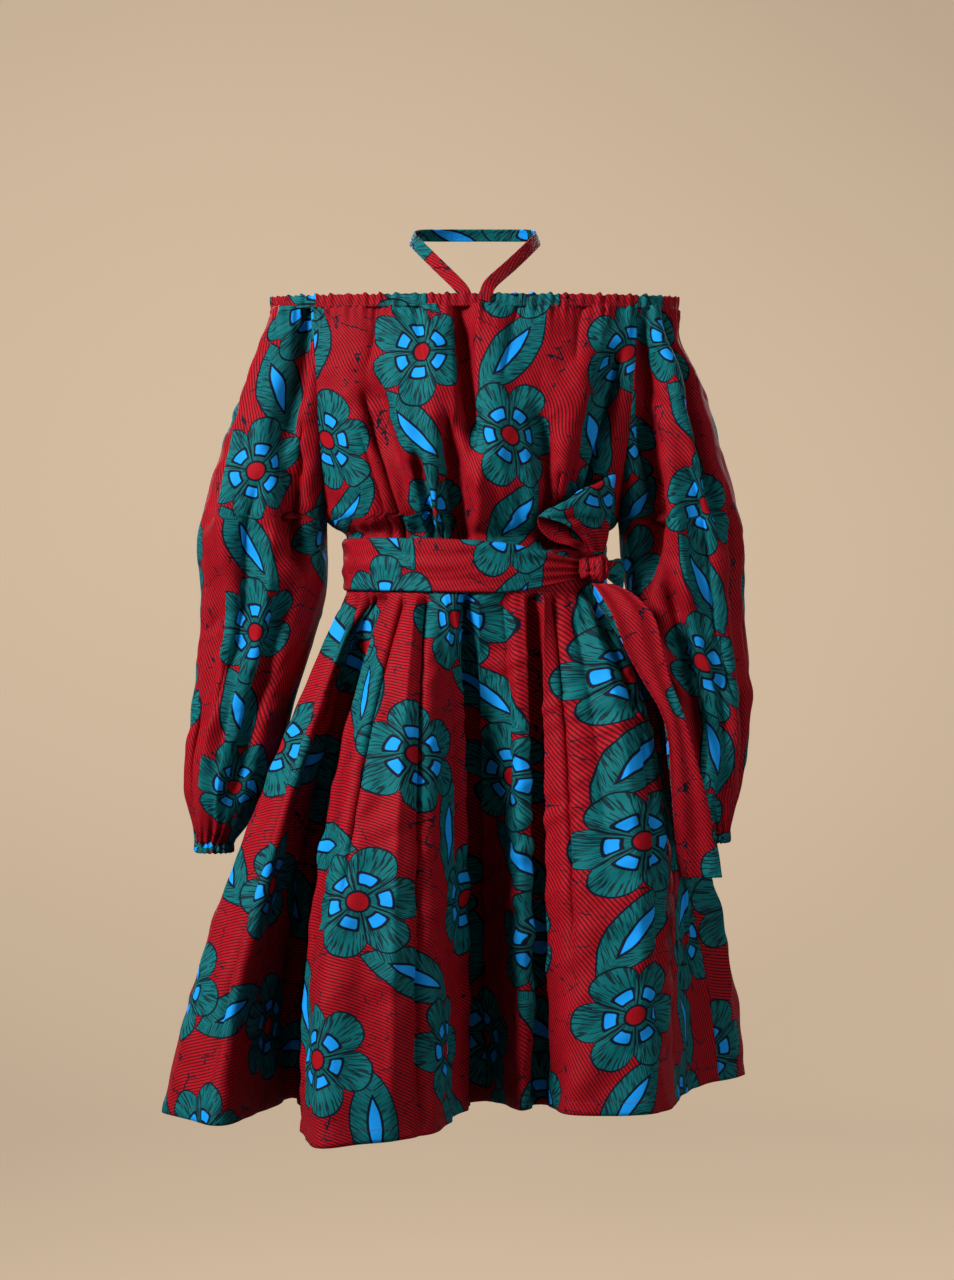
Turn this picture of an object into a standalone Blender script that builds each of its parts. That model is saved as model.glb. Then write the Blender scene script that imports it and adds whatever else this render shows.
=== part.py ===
"""Halter dress: an off-shoulder mini dress with a neck strap, balloon sleeves, a tie belt and a full skirt.

The dress keeps the hollow form it has when worn. Every piece of cloth is a thin wall of its own.
The figure's front faces -Y and +Z is up. While the pieces are drawn, height 0 is the waist seam;
an empty then carries them all down, so that the world's origin is the strap's inner face at the nape.
All sizes are in metres.
"""

import bpy
import bmesh
import math
import numpy as np

MM = 0.001

# Cloth
WALL = 1.5 * MM
SEAM_GAP = 0.3 * MM
HALF_SEAM = 0.2 * MM
LYING_GAP = 0.8 * MM
PANEL_TRIM = 3 * HALF_SEAM
SLEEVE_TRIM = 2 * SEAM_GAP

# Heights that pieces share
UNDERARM = 45 * MM
SKIRT_START = -30 * MM
FRONT_DIP = 0.05
DIP_FADES_AT = 150 * MM
FOLD_SETTLES = 45 * MM
BELT_CLEAR = 30 * MM
BELT_FADE = 16 * MM
HEM_HEIGHT = -560 * MM

# How folds fade: at the ends of each, under the casing, at a panel's edges and on a narrow sleeve
FADE_IN = 0.25
FADE_IN_START = 0.2
FADE_OUT = 0.3
FADE_OUT_END = 1.12
CASING_SHALLOW = 0.35
BODICE_EDGE = 0.2
SLEEVE_EDGE = 0.18
SLEEVE_FULL_HALF = 50 * MM
SLEEVE_LEAST = 0.35

# Neck casing: a turned edge round an elastic
CASING_MIDDLE = 272.5 * MM
CASING_TALL = 13.5 * MM
CASING_THICK = 3.0 * MM
CASING_WAVES = 60
CASING_WAVE_DEPTH = 1.3 * MM
CASING_WAVE_RISE = 1.0 * MM
COLUMNS_PER_WAVE = 4
NECK_SAMPLES = 200
NECK_ROUNDING = 24
PANEL_TOP = CASING_MIDDLE - CASING_TALL / 2 - 1.5 * SEAM_GAP

# The gathered wall waves more at its upper edge than at its lower one
RING_WAVE_MIDDLE = 0.7
RING_WAVE_LEAN = 0.6

# Elastic cuffs
CUFF_TALL = 12.5 * MM
CUFF_THICK = 2.8 * MM
CUFF_WAVES = 20
CUFF_WAVE_DEPTH = 1.2 * MM

# Halter strap
STRAP_WIDE = 13.5 * MM
STRAP_THICK = 2.0 * MM
STRAP_TILT = 30 * MM
NAPE_Y = 60 * MM
NAPE_Z = 354 * MM

# Tie belt
BELT_THICK = 3.0 * MM
BELT_FOLD = 0.35
BELT_FOLDS = 3
TAIL_THICK = 2.0 * MM
KNOT_ANGLE = 57.0
KNOT_HEIGHT = -5 * MM
KNOT_HALF = (21 * MM, 17 * MM, 14 * MM)
KNOT_FOLD = 0.09
KNOT_FOLDS = 3
KNOT_TWIST = 2.5
KNOT_SQUARE = 0.8
KNOT_SETTLES = 0.45 * MM

# Grid fineness of the walls
BODICE_COLUMNS = 28
BODICE_ROWS = 9
BODICE_LOW_ROWS_MM = (39, 33, 28.5, 14)
SLEEVE_COLUMNS = 26
SLEEVE_ROWS_ABOVE = 7
SLEEVE_ROWS_BELOW = 11
SLEEVE_ROW_SPREAD = 0.9
SKIRT_COLUMNS = 44
SKIRT_ROWS = 11
SKIRT_ROW_SPREAD = 1.15
BELT_COLUMNS = 48
BELT_FACE_ROWS = 7
KNOT_COLUMNS = 20
KNOT_ROWS = 11
STRAP_ROWS = 42
LOOP_ROWS = 17
LOOP_COLUMNS = 5
TAIL_ROWS = 18
TAIL_COLUMNS = 4

# The bodice by height: where its side or raglan seams run, and how far front and back stand out
BODICE_NAMES = ("height", "left", "right", "front", "back")
BODICE_MM = (
    (274, -166, 166, 98, 92),
    (235, -165, 165, 108, 96),
    (190, -163, 163, 117, 99),
    (140, -161, 159, 123, 100),
    (95, -158, 154, 124, 99),
    (62, -156, 151, 121, 97),
    (45, -155, 150, 115, 93),
    (39, -149, 146, 107, 89),
    (34, -139, 139, 97, 87),
    (30, -135, 135, 93, 84),
    (27, -135, 135, 93, 84),
    (20, -135, 135, 93, 84),
    (0, -135, 135, 93, 84),
    (-40, -135, 135, 93, 84),
)

# The sleeves by height: outer edge, width from side to side, half depth and centre line
SLEEVE_NAMES = ("height", "outer", "across", "half_depth", "middle")
SLEEVE_LEFT_MM = (
    (274, 213, 98, 70, 0),
    (236, 220, 108, 72, 0),
    (200, 237, 118, 74, 0),
    (152, 250, 124, 76, 0),
    (100, 264, 127, 76, 0),
    (45, 280, 130, 74, 0),
    (5, 285, 122, 70, 0),
    (-37, 284, 114, 67, -1),
    (-90, 287, 108, 63, -2),
    (-142, 291, 104, 59, -3),
    (-190, 291, 96, 55, -4),
    (-226, 284, 84, 49, -5),
    (-256, 274, 60, 36, -6),
    (-278, 267, 36, 22, -7),
)
SLEEVE_RIGHT_MM = (
    (274, 213, 98, 70, 0),
    (231, 224, 110, 72, 0),
    (173, 247, 122, 75, 0),
    (121, 266, 129, 77, 0),
    (68, 282, 133, 76, 0),
    (45, 288, 133, 75, 0),
    (26, 291, 130, 73, 1),
    (-26, 289, 123, 69, 5),
    (-89, 292, 112, 64, 12),
    (-142, 299, 109, 60, 18),
    (-205, 310, 104, 56, 24),
    (-247, 308, 84, 48, 26),
    (-276, 299, 56, 33, 26),
    (-291, 296, 40, 22, 26),
)

# Where the skirt's folds fall: the angle round the waist that each comes from, its place at the hem,
# and its swell, which is 1 for a straight fall and more where the cloth stands out at once
SKIRT_NAMES = ("angle", "hem_x", "hem_y", "hem_z", "swell")
SKIRT = (
    (-100, -268, 34, -560, 1.20),
    (-85, -322, -30, -566, 1.35),
    (-72, -300, -82, -568, 1.35),
    (-61, -252, -116, -570, 1.60),
    (-52, -212, -20, -567, 1.90),
    (-46, -190, 34, -566, 2.00),
    (-41, -176, -70, -572, 2.10),
    (-36, -163, -192, -578, 2.10),
    (-29, -112, -203, -575, 2.10),
    (-21, -45, -172, -571, 2.60),
    (-12, -20, -60, -569, 2.20),
    (-3, 5, 22, -568, 2.00),
    (7, 26, -14, -563, 2.00),
    (18, 48, -80, -561, 2.00),
    (27, 70, -46, -561, 2.00),
    (36, 94, -104, -561, 2.10),
    (47, 140, -115, -561, 3.00),
    (58, 183, -105, -560, 4.00),
    (66, 200, -74, -560, 4.60),
    (75, 220, 6, -557, 2.40),
    (85, 244, 56, -554, 1.50),
    (98, 286, 92, -551, 1.60),
    (108, 290, 134, -551, 1.70),
    (119, 248, 164, -553, 1.80),
    (130, 206, 114, -556, 1.80),
    (140, 194, 188, -556, 1.80),
    (151, 128, 128, -559, 1.80),
    (161, 96, 206, -560, 1.80),
    (171, 46, 140, -560, 1.80),
    (180, 4, 212, -562, 1.80),
    (189, -44, 142, -562, 1.80),
    (199, -96, 204, -562, 1.80),
    (209, -132, 130, -561, 1.80),
    (219, -202, 184, -562, 1.80),
    (230, -214, 106, -560, 1.70),
    (242, -284, 116, -562, 1.50),
    (252, -290, 74, -561, 1.30),
)

# Large folds pressed into a bodice panel: from the upper to the lower end, negative depth is a valley
FOLD_NAMES = ("upper_x", "upper_z", "lower_x", "lower_z", "half_wide", "depth")
FRONT_FOLDS_MM = (
    (-13, 290, -9, 120, 13, -15),
    (24, 290, 16, 90, 15, 6),
    (-48, 290, -38, 110, 15, 6),
    (-116, 200, -64, 30, 15, -11),
    (-88, 210, -40, 30, 14, 7),
    (-16, 150, -12, 30, 13, -11),
    (56, 160, 66, 30, 14, -9),
    (146, 220, 98, 30, 15, -13),
    (118, 240, 78, 50, 16, 7),
)
BACK_FOLDS_MM = (
    (0, 290, 2, 60, 15, -9),
    (-104, 230, -58, 30, 15, -10),
    (-64, 200, -28, 30, 15, 6),
    (104, 225, 60, 30, 15, -10),
    (62, 205, 30, 30, 15, 6),
)

# Long folds of a sleeve: its angle at the upper and lower end, with 0 outside and -180 to the front
SLEEVE_FOLD_NAMES = ("upper_turn", "upper_z", "lower_turn", "lower_z", "half_wide", "depth")
SLEEVE_LEFT_FOLDS = (
    (-78, 290, -128, 30, 16, -15),
    (-40, 290, -30, 170, 12, -5),
    (0, 290, 6, 190, 12, -5),
    (44, 290, 36, 170, 12, -5),
    (78, 290, 122, 60, 15, -10),
    (-70, 60, -40, -120, 14, -5),
    (30, 20, 60, -150, 14, -5),
    (-100, -180, -100, -300, 14, -6),
    (-50, -190, -50, -300, 13, -6),
    (-5, -180, -5, -300, 13, -6),
    (42, -190, 42, -300, 13, -6),
    (90, -180, 90, -300, 14, -6),
    (140, -190, 140, -300, 14, -6),
)
SLEEVE_RIGHT_FOLDS = (
    (-78, 290, -126, 40, 15, -9),
    (-42, 290, -34, 160, 12, -5),
    (-4, 290, -8, 190, 12, -5),
    (38, 290, 34, 170, 12, -5),
    (78, 290, 122, 60, 15, -10),
    (-66, 40, -30, -130, 14, -5),
    (34, 10, 66, -160, 14, -5),
    (-96, -190, -96, -310, 14, -6),
    (-46, -200, -46, -310, 13, -6),
    (2, -190, 2, -310, 13, -6),
    (48, -200, 48, -310, 13, -6),
    (96, -190, 96, -310, 14, -6),
    (146, -200, 146, -310, 14, -6),
)
TURN_TO_MM = 1.1
SLEEVE_FOLD_SCALE = 1.5

# The belt round the waist: its upper and lower edge by angle
BELT_NAMES = ("angle", "top", "bottom")
BELT_MM = (
    (-90, 27, -27),
    (-45, 26, -29),
    (0, 23, -31),
    (11, 21, -31),
    (28, 14, -26),
    (48, 5, -17),
    (57, 3, -14),
    (66, 5, -15),
    (80, 15, -22),
    (100, 25, -27),
    (122, 27, -28),
    (180, 27, -28),
)

# The strap's middle line, from behind the casing, round the nape, to the front of the casing
STRAP_NAMES = ("x", "y", "z")
STRAP_MM = (
    (-9, -91.8, 267),
    (-14, -90, 280),
    (-39, -52, 309),
    (-61, -20, 334),
    (-67, 6, 344),
    (-60, 32, 350),
    (-36, 53, 353),
    (0, 60, 354),
    (36, 53, 353),
    (60, 32, 350),
    (67, 6, 344),
    (60, -22, 333),
    (38, -60, 308),
    (17, -98, 285),
    (11, -102.7, 273),
    (9, -103, 266),
)

# The bow loop, along its length: both edges seen from the front, and how far it stands off the bodice
LOOP_NAMES = ("left_x", "left_z", "right_x", "right_z", "stand_off")
LOOP_MM = (
    (116, 11.2, 133, 12.2, 24),
    (108, 25, 136, 26, 26),
    (92, 38, 139, 52, 27),
    (72, 44, 142, 78, 22),
    (66, 46, 143, 90, 15),
    (64, 44, 141, 90, 8),
    (66, 34, 138, 72, 4),
    (80, 22, 134, 44, 5),
    (104, 16, 131, 23, 9),
    (113, 11.4, 129, 12.4, 12),
)

# The hanging ends of the belt: both edges seen from the front, and how far each stands off the skirt
TAIL_NAMES = ("height", "left_x", "right_x", "left_off", "right_off")
WIDE_TAIL_MM = (
    (-21, 120, 141, 2.6, 2.4),
    (-32, 128, 163, 9, 6),
    (-55, 141, 183, 12, 9),
    (-89, 154, 192, 10, 9),
    (-120, 171, 200, 13, 9),
    (-151, 189, 212, 16, 9),
    (-181, 197, 221, 15, 9),
    (-236, 201, 236, 11, 8),
    (-291, 206, 249, 9, 9),
    (-323, 212, 254, 8, 9),
)
NARROW_TAIL_MM = (
    (-23.5, 118, 130, 6, 5),
    (-42, 128, 140, 4, 4),
    (-89, 156, 168, 4, 4),
    (-126, 182, 194, 4, 4),
    (-151, 193, 204, 4, 4),
    (-202, 198, 209, 4, 4),
    (-249, 203, 213, 4, 4),
    (-314, 205, 219, 4, 4),
    (-380, 206, 221, 4, 4),
    (-413, 210, 220, 4, 4),
)
TAIL_DEPTH_MM = ((-20, -70), (-60, -80), (-120, -80), (-190, -82), (-240, -78), (-291, -66), (-413, -58))
NARROW_BEHIND = 14 * MM
ENVELOPE_REACH = 10 * MM
ENVELOPE_ANGLES = (-80, 110, 380)
BODICE_FLATTEST = 0.02

PRINT_RED = (0.35, 0.02, 0.04, 1.0)
PRINT_TEAL = (0.02, 0.12, 0.12, 1.0)
ROUGH_COTTON = 0.85


def column(table, names, name, scale=1.0):
    """One named column of a table, as an array."""
    return np.array([row[names.index(name)] for row in table], float) * scale


def flow(keys, values, at):
    """A smooth curve through (key, value) pairs: cubics whose slope at a key is its neighbours' slope."""
    order = np.argsort(keys)
    keys = np.asarray(keys, float)[order]
    values = np.asarray(values, float)[order]
    slopes = np.gradient(values, keys)
    at = np.clip(at, keys[0], keys[-1])
    spot = np.clip(np.searchsorted(keys, at, side="right") - 1, 0, len(keys) - 2)
    step = keys[spot + 1] - keys[spot]
    t = (at - keys[spot]) / step
    rise = values[spot + 1] - values[spot]
    start = values[spot] + t * t * (3 - 2 * t) * rise
    return start + step * t * (1 - t) * ((1 - t) * slopes[spot] - t * slopes[spot + 1])


def flow_round(angles, values, at):
    """The same curve where the key is an angle in degrees that comes round again."""
    angles = np.asarray(angles, float)
    values = np.asarray(values, float)
    keys = np.concatenate((angles - 360, angles, angles + 360))
    return flow(keys, np.tile(values, 3), at)


def rows_along(table, count):
    """Points at even steps along the rows of a table, on a smooth curve through them."""
    rows = np.array(table, float)
    at = np.linspace(0, len(rows) - 1, count)
    keys = np.arange(len(rows))
    return np.stack([flow(keys, rows[:, i], at) for i in range(rows.shape[1])], axis=-1)


def named_rows(table, names, count):
    """Each named column of a table, in metres, at even steps along the table's rows."""
    rows = rows_along(table, count) * MM
    return [rows[:, names.index(name)][:, None] for name in names]


def ease(x):
    """Rises from 0 to 1 as x does, flat at both ends."""
    x = np.clip(x, 0, 1)
    return x * x * (3 - 2 * x)


def fold_relief(folds, names, across, height, scale, half_scale):
    """The sum of long soft ridges and valleys; each fades to nothing at its two ends."""
    total = np.zeros(np.broadcast(across, height).shape)
    upper, lower = names[0], names[2]
    for row in folds:
        fold = dict(zip(names, row))
        run = (fold["upper_z"] * MM - height) / ((fold["upper_z"] - fold["lower_z"]) * MM)
        middle = (fold[upper] + (fold[lower] - fold[upper]) * run) * scale
        shape = np.exp(-((across - middle) / (fold["half_wide"] * half_scale)) ** 2)
        fade = ease(run / FADE_IN + FADE_IN_START) * ease((FADE_OUT_END - run) / FADE_OUT)
        total += fold["depth"] * MM * shape * fade
    return total


def sleeve_section(height, side):
    """Centre, half width, half depth and turn of a sleeve's oval at a height.

    The turn is half a circle on the closed tube. Above the underarm it ends at the raglan seam.
    """
    table = SLEEVE_LEFT_MM if side > 0 else SLEEVE_RIGHT_MM
    keys = column(table, SLEEVE_NAMES, "height", MM)
    outer = flow(keys, column(table, SLEEVE_NAMES, "outer", MM), height)
    half = flow(keys, column(table, SLEEVE_NAMES, "across", MM), height) / 2
    depth = flow(keys, column(table, SLEEVE_NAMES, "half_depth", MM), height)
    middle = flow(keys, column(table, SLEEVE_NAMES, "middle", MM), height)
    centre = outer - half
    seam = np.abs(bodice_value("right" if side > 0 else "left", height))
    turn = np.arccos(np.clip((seam - centre) / half, -1, 1))
    turn = np.where(height <= UNDERARM + 1e-9, math.pi, turn)
    return centre, half, depth, middle, turn


def bodice_value(name, height):
    """A column of the bodice table, read at any height."""
    keys = column(BODICE_MM, BODICE_NAMES, "height", MM)
    return flow(keys, column(BODICE_MM, BODICE_NAMES, name, MM), height)


def seam_depth(height, side):
    """How far the raglan seam lies in front of the side line. Under the arm it is nothing."""
    centre, half, depth, middle, turn = sleeve_section(height, side)
    return depth * np.sin(turn)


def neckline_dip(height, depth):
    """The neckline is a little lower in front than behind, and this fades out lower down."""
    fade = ease((height - DIP_FADES_AT) / (CASING_MIDDLE - DIP_FADES_AT))
    return FRONT_DIP * depth * fade


def casing_calm(height):
    """The large folds are shallow where the casing holds the cloth, and full a hand's breadth below."""
    return CASING_SHALLOW + (1 - CASING_SHALLOW) * ease((CASING_MIDDLE - height) / FOLD_SETTLES)


def bodice_surface(share, height, face):
    """A bodice panel from its left (-1) to its right (+1) seam; face is -1 in front and +1 behind.

    At each height it is an arc of an oval through both seams, with the panel's large folds added.
    """
    reach = bodice_value("front" if face < 0 else "back", height)
    side = np.where(share < 0, -1, 1)
    depth = np.where(side < 0, seam_depth(height, -1), seam_depth(height, 1))
    seam = np.where(side < 0, np.abs(bodice_value("left", height)), bodice_value("right", height))
    widest = np.arccos(np.clip(depth / reach, 0, 1))
    oval = (seam - SEAM_GAP) / np.sin(widest)
    angle = share * (widest - PANEL_TRIM / reach)
    x = oval * np.sin(angle)
    y = face * reach * np.cos(angle)
    folds = FRONT_FOLDS_MM if face < 0 else BACK_FOLDS_MM
    relief = fold_relief(folds, FOLD_NAMES, x, height, MM, MM)
    relief = relief * ease((1 - np.abs(share)) / BODICE_EDGE) * ease((height - BELT_CLEAR) / BELT_FADE)
    relief = relief * casing_calm(height)
    x = x + relief * np.sin(angle)
    y = y + face * relief * np.cos(angle)
    return np.stack([x, y, height + neckline_dip(height, y)], axis=-1)


def sleeve_surface(share, height, side):
    """A sleeve from its front (-1) round the outside to its back (+1) edge, as an oval at each height."""
    centre, half, depth, middle, turn = sleeve_section(height, side)
    trim = np.where(turn < math.pi - 1e-6, SLEEVE_TRIM / half, 0.0)
    angle = share * (turn - trim)
    folds = SLEEVE_LEFT_FOLDS if side > 0 else SLEEVE_RIGHT_FOLDS
    degrees = np.degrees(angle)
    relief = SLEEVE_FOLD_SCALE * fold_relief(folds, SLEEVE_FOLD_NAMES, degrees, height, 1.0, 1 / TURN_TO_MM)
    edge = np.where(turn < math.pi - 1e-6, ease((1 - np.abs(share)) / SLEEVE_EDGE), 1.0)
    relief = relief * edge * casing_calm(height) * np.clip(half / SLEEVE_FULL_HALF, SLEEVE_LEAST, 1)
    x = centre + (half + relief) * np.cos(angle)
    y = middle + (depth + relief) * np.sin(angle)
    return np.stack([side * x, y, height + neckline_dip(height, y)], axis=-1)


def waist_ring(angle, out=0.0):
    """The waist as an oval, by angle in radians from the front, moved out by a distance."""
    x = bodice_value("right", 0.0) * np.sin(angle)
    reach = np.where(np.cos(angle) > 0, bodice_value("front", 0.0), bodice_value("back", 0.0))
    y = -reach * np.cos(angle)
    slope = np.stack([x / bodice_value("right", 0.0) ** 2, y / reach ** 2], axis=-1)
    slope = slope / np.linalg.norm(slope, axis=-1, keepdims=True)
    return x + out * slope[..., 0], y + out * slope[..., 1], slope


def skirt_surface(degrees, fall):
    """The skirt: fall 0 is the belt's lower edge, 1 the hem.

    Each line of the cloth runs from the waist oval to its own place on the folded hem, and it
    leaves the waist the faster the larger its swell: share out = 1 - (1 - fall) ** swell.
    """
    angles = column(SKIRT, SKIRT_NAMES, "angle")
    hem_x = flow_round(angles, column(SKIRT, SKIRT_NAMES, "hem_x", MM), degrees)
    hem_y = flow_round(angles, column(SKIRT, SKIRT_NAMES, "hem_y", MM), degrees)
    hem_z = flow_round(angles, column(SKIRT, SKIRT_NAMES, "hem_z", MM), degrees)
    swell = flow_round(angles, column(SKIRT, SKIRT_NAMES, "swell"), degrees)
    waist_x, waist_y, slope = waist_ring(np.radians(degrees))
    out = 1 - (1 - np.clip(fall, 0, 1)) ** swell
    z = SKIRT_START + (hem_z - SKIRT_START) * fall
    z = np.where(fall < 0, -SEAM_GAP / 2 + (SKIRT_START + SEAM_GAP / 2) * (1 + fall), z)
    return np.stack([waist_x + (hem_x - waist_x) * out, waist_y + (hem_y - waist_y) * out, z], axis=-1)


def bodice_front_depth(x, z):
    """How far forward the bodice stands at a place seen from the front."""
    reach = bodice_value("front", z)
    widest = np.arccos(np.clip(seam_depth(z, 1) / reach, 0, 1))
    oval = bodice_value("right", z) / np.sin(widest)
    return -reach * np.sqrt(np.clip(1 - (x / oval) ** 2, BODICE_FLATTEST, 1))


def skirt_front_depth(x, z):
    """How far forward the skirt stands there: the nearest of its points about the same place."""
    degrees = np.linspace(*ENVELOPE_ANGLES)
    fall = (z - SKIRT_START) / (HEM_HEIGHT - SKIRT_START)
    cloth = skirt_surface(degrees[None, :], np.clip(fall, 0, 1)[:, None])
    apart = (cloth[..., 0] - x[:, None]) / ENVELOPE_REACH
    return np.min(cloth[..., 1] + apart ** 2 * ENVELOPE_REACH, axis=1)


def cotton(name, colour):
    """Printed cotton's plain stand-in: one colour, matte."""
    material = bpy.data.materials.new(name + "_cloth")
    material.use_nodes = True
    shader = material.node_tree.nodes["Principled BSDF"]
    shader.inputs["Base Color"].default_value = colour
    shader.inputs["Roughness"].default_value = ROUGH_COTTON
    shader.inputs["Metallic"].default_value = 0.0
    return material


def grid_faces(rows, columns, row_ring=False, column_ring=False):
    """Four-sided faces of a grid of points, which may close round in either direction."""
    r = np.arange(rows if row_ring else rows - 1)
    c = np.arange(columns if column_ring else columns - 1)
    r, c = np.meshgrid(r, c, indexing="ij")
    r2 = (r + 1) % rows
    c2 = (c + 1) % columns
    faces = np.stack([r * columns + c, r2 * columns + c, r2 * columns + c2, r * columns + c2], axis=-1)
    return faces.reshape(-1, 4)


def add_piece(name, points, colour, parent, row_ring=False, column_ring=False, thick=None, closed=False):
    """One piece from a grid of points. Thick turns an open sheet into a wall, inwards from its face."""
    rows, columns = points.shape[:2]
    faces = grid_faces(rows, columns, row_ring, column_ring)
    mesh = bpy.data.meshes.new(name)
    mesh.from_pydata(points.reshape(-1, 3).tolist(), [], faces.tolist())
    body = bmesh.new()
    body.from_mesh(mesh)
    bmesh.ops.remove_doubles(body, verts=body.verts, dist=0.01 * MM)
    if closed:
        bmesh.ops.recalc_face_normals(body, faces=body.faces)
    body.to_mesh(mesh)
    body.free()
    mesh.shade_smooth()
    piece = bpy.data.objects.new(name, mesh)
    bpy.context.scene.collection.objects.link(piece)
    piece.parent = parent
    mesh.materials.append(cotton(name, colour))
    if thick:
        wall = piece.modifiers.new("wall", "SOLIDIFY")
        wall.thickness = thick
        wall.offset = -1
        wall.use_even_offset = True
        wall.thickness_clamp = 0
    return piece


def bodice_heights():
    """Rows of a bodice panel, from under the casing to the waist seam, one of them at the underarm."""
    above = np.linspace(PANEL_TOP, UNDERARM, BODICE_ROWS)
    below = np.array(BODICE_LOW_ROWS_MM) * MM
    return np.concatenate((above, below, [SEAM_GAP / 2]))


def make_bodice(name, face, colour, parent):
    """A front or back panel, gathered at the neck and caught in at the waist."""
    share = np.linspace(-1, 1, BODICE_COLUMNS + 1)
    height = bodice_heights()
    points = bodice_surface(share[None, :], height[:, None], face)
    if face > 0:
        points = points[:, ::-1]
    return add_piece(name, points, colour, parent, thick=WALL)


def make_sleeve(name, side, colour, parent):
    """A balloon sleeve: open to the bodice above the underarm, a tube from there to the cuff."""
    table = SLEEVE_LEFT_MM if side > 0 else SLEEVE_RIGHT_MM
    wrist = table[-1][0] * MM
    share = np.linspace(-1, 1, SLEEVE_COLUMNS + 1)
    above = np.linspace(PANEL_TOP, UNDERARM, SLEEVE_ROWS_ABOVE)
    down = np.linspace(0, 1, SLEEVE_ROWS_BELOW)[1:] ** SLEEVE_ROW_SPREAD
    below = UNDERARM + (wrist - UNDERARM) * down
    height = np.concatenate((above, below))
    points = sleeve_surface(share[None, :], height[:, None], side)
    if side < 0:
        points = points[:, ::-1]
    return add_piece(name, points, colour, parent, thick=WALL)


def neck_ring(count):
    """The neckline seen from above: front, left sleeve, back and right sleeve, at even steps."""
    fine = np.linspace(-1, 1, NECK_SAMPLES)
    height = np.full_like(fine, CASING_MIDDLE)
    front = bodice_surface(fine, height, -1)
    left = sleeve_surface(fine, height, 1)
    back = bodice_surface(fine[::-1], height, 1)
    right = sleeve_surface(fine[::-1], height, -1)
    loop = np.concatenate((front, left, back, right))
    return even_steps(smooth_ring(loop, NECK_ROUNDING), count)


def smooth_ring(loop, reach):
    """A closed line with each point moved to the mean of its neighbours, which rounds its corners."""
    kernel = np.ones(2 * reach + 1) / (2 * reach + 1)
    padded = np.concatenate((loop[-reach:], loop, loop[:reach]))
    return np.stack([np.convolve(padded[:, i], kernel, mode="valid") for i in range(3)], axis=-1)


def even_steps(loop, count):
    """Points at even steps along a closed line."""
    closed = np.concatenate((loop, loop[:1]))
    length = np.concatenate(([0], np.cumsum(np.linalg.norm(np.diff(closed, axis=0), axis=1))))
    at = np.linspace(0, length[-1], count, endpoint=False)
    return np.stack([np.interp(at, length, closed[:, i]) for i in range(3)], axis=-1)


def ring_outward(ring):
    """Level outward directions of a closed line that runs left over the front to the right."""
    along = np.roll(ring, -1, axis=0) - np.roll(ring, 1, axis=0)
    out = np.stack([along[:, 1], -along[:, 0], np.zeros(len(ring))], axis=-1)
    return out / np.linalg.norm(out, axis=1, keepdims=True)


def gathered_ring(name, ring, tall, thick, waves, depth, rise, colour, parent):
    """A casing drawn up on elastic: a flat tube whose wall waves in and out, its edge up and down."""
    out = ring_outward(ring)
    phase = 2 * math.pi * waves * np.arange(len(ring)) / len(ring)
    wave = np.cos(phase)[:, None]
    up = np.array([0.0, 0.0, 1.0])
    corners = ((0.5, -0.5), (0.5, 0.5), (-0.5, 0.5), (-0.5, -0.5))
    lines = []
    for across, height in corners:
        line = ring + out * (across * thick + wave * depth * (RING_WAVE_MIDDLE + RING_WAVE_LEAN * height))
        line = line + up * (height * tall + 2 * rise * wave * max(height, 0))
        lines.append(line)
    points = np.stack(lines, axis=1)
    return add_piece(name, points, colour, parent, row_ring=True, column_ring=True, closed=True)


def make_cuff(name, side, colour, parent):
    """The elastic at a wrist, under the end of its sleeve."""
    table = SLEEVE_LEFT_MM if side > 0 else SLEEVE_RIGHT_MM
    wrist = table[-1][0] * MM
    centre, half, depth, middle, turn = sleeve_section(np.array(wrist), side)
    count = CUFF_WAVES * COLUMNS_PER_WAVE
    angle = 2 * math.pi * np.arange(count) / count
    x = side * centre + (half - WALL / 2) * np.sin(angle)
    y = middle - (depth - WALL / 2) * np.cos(angle)
    z = np.full(count, wrist - SEAM_GAP - CUFF_TALL / 2)
    ring = np.stack([x, y, z], axis=-1)
    return gathered_ring(name, ring, CUFF_TALL, CUFF_THICK, CUFF_WAVES, CUFF_WAVE_DEPTH, 0.0, colour, parent)


def make_skirt(name, first, last, colour, parent):
    """A skirt panel between two side seams, given as angles, from the waist seam to the hem."""
    trim = math.degrees(PANEL_TRIM / bodice_value("right", 0.0))
    degrees = np.linspace(first + trim, last - trim, SKIRT_COLUMNS + 1)
    fall = np.concatenate(([-1.0], np.linspace(0, 1, SKIRT_ROWS) ** SKIRT_ROW_SPREAD))
    points = skirt_surface(degrees[None, :], fall[:, None])
    return add_piece(name, points, colour, parent, thick=WALL)


def make_strap(parent):
    """A flat strip along its route, its face turned away from the neck's middle line."""
    line = np.concatenate(named_rows(STRAP_MM, STRAP_NAMES, STRAP_ROWS), axis=1)
    along = np.gradient(line, axis=0)
    face = line * np.array([1.0, 1.0, 0.0]) + np.array([0.0, 0.0, STRAP_TILT])
    across = np.cross(along, face)
    across = across / np.linalg.norm(across, axis=1, keepdims=True)
    side = np.array([-0.5, 0.5])[None, :, None] * STRAP_WIDE
    points = line[:, None, :] + side * across[:, None, :]
    return add_piece("halter_strap", points[:, ::-1], PRINT_RED, parent, thick=STRAP_THICK)


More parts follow.
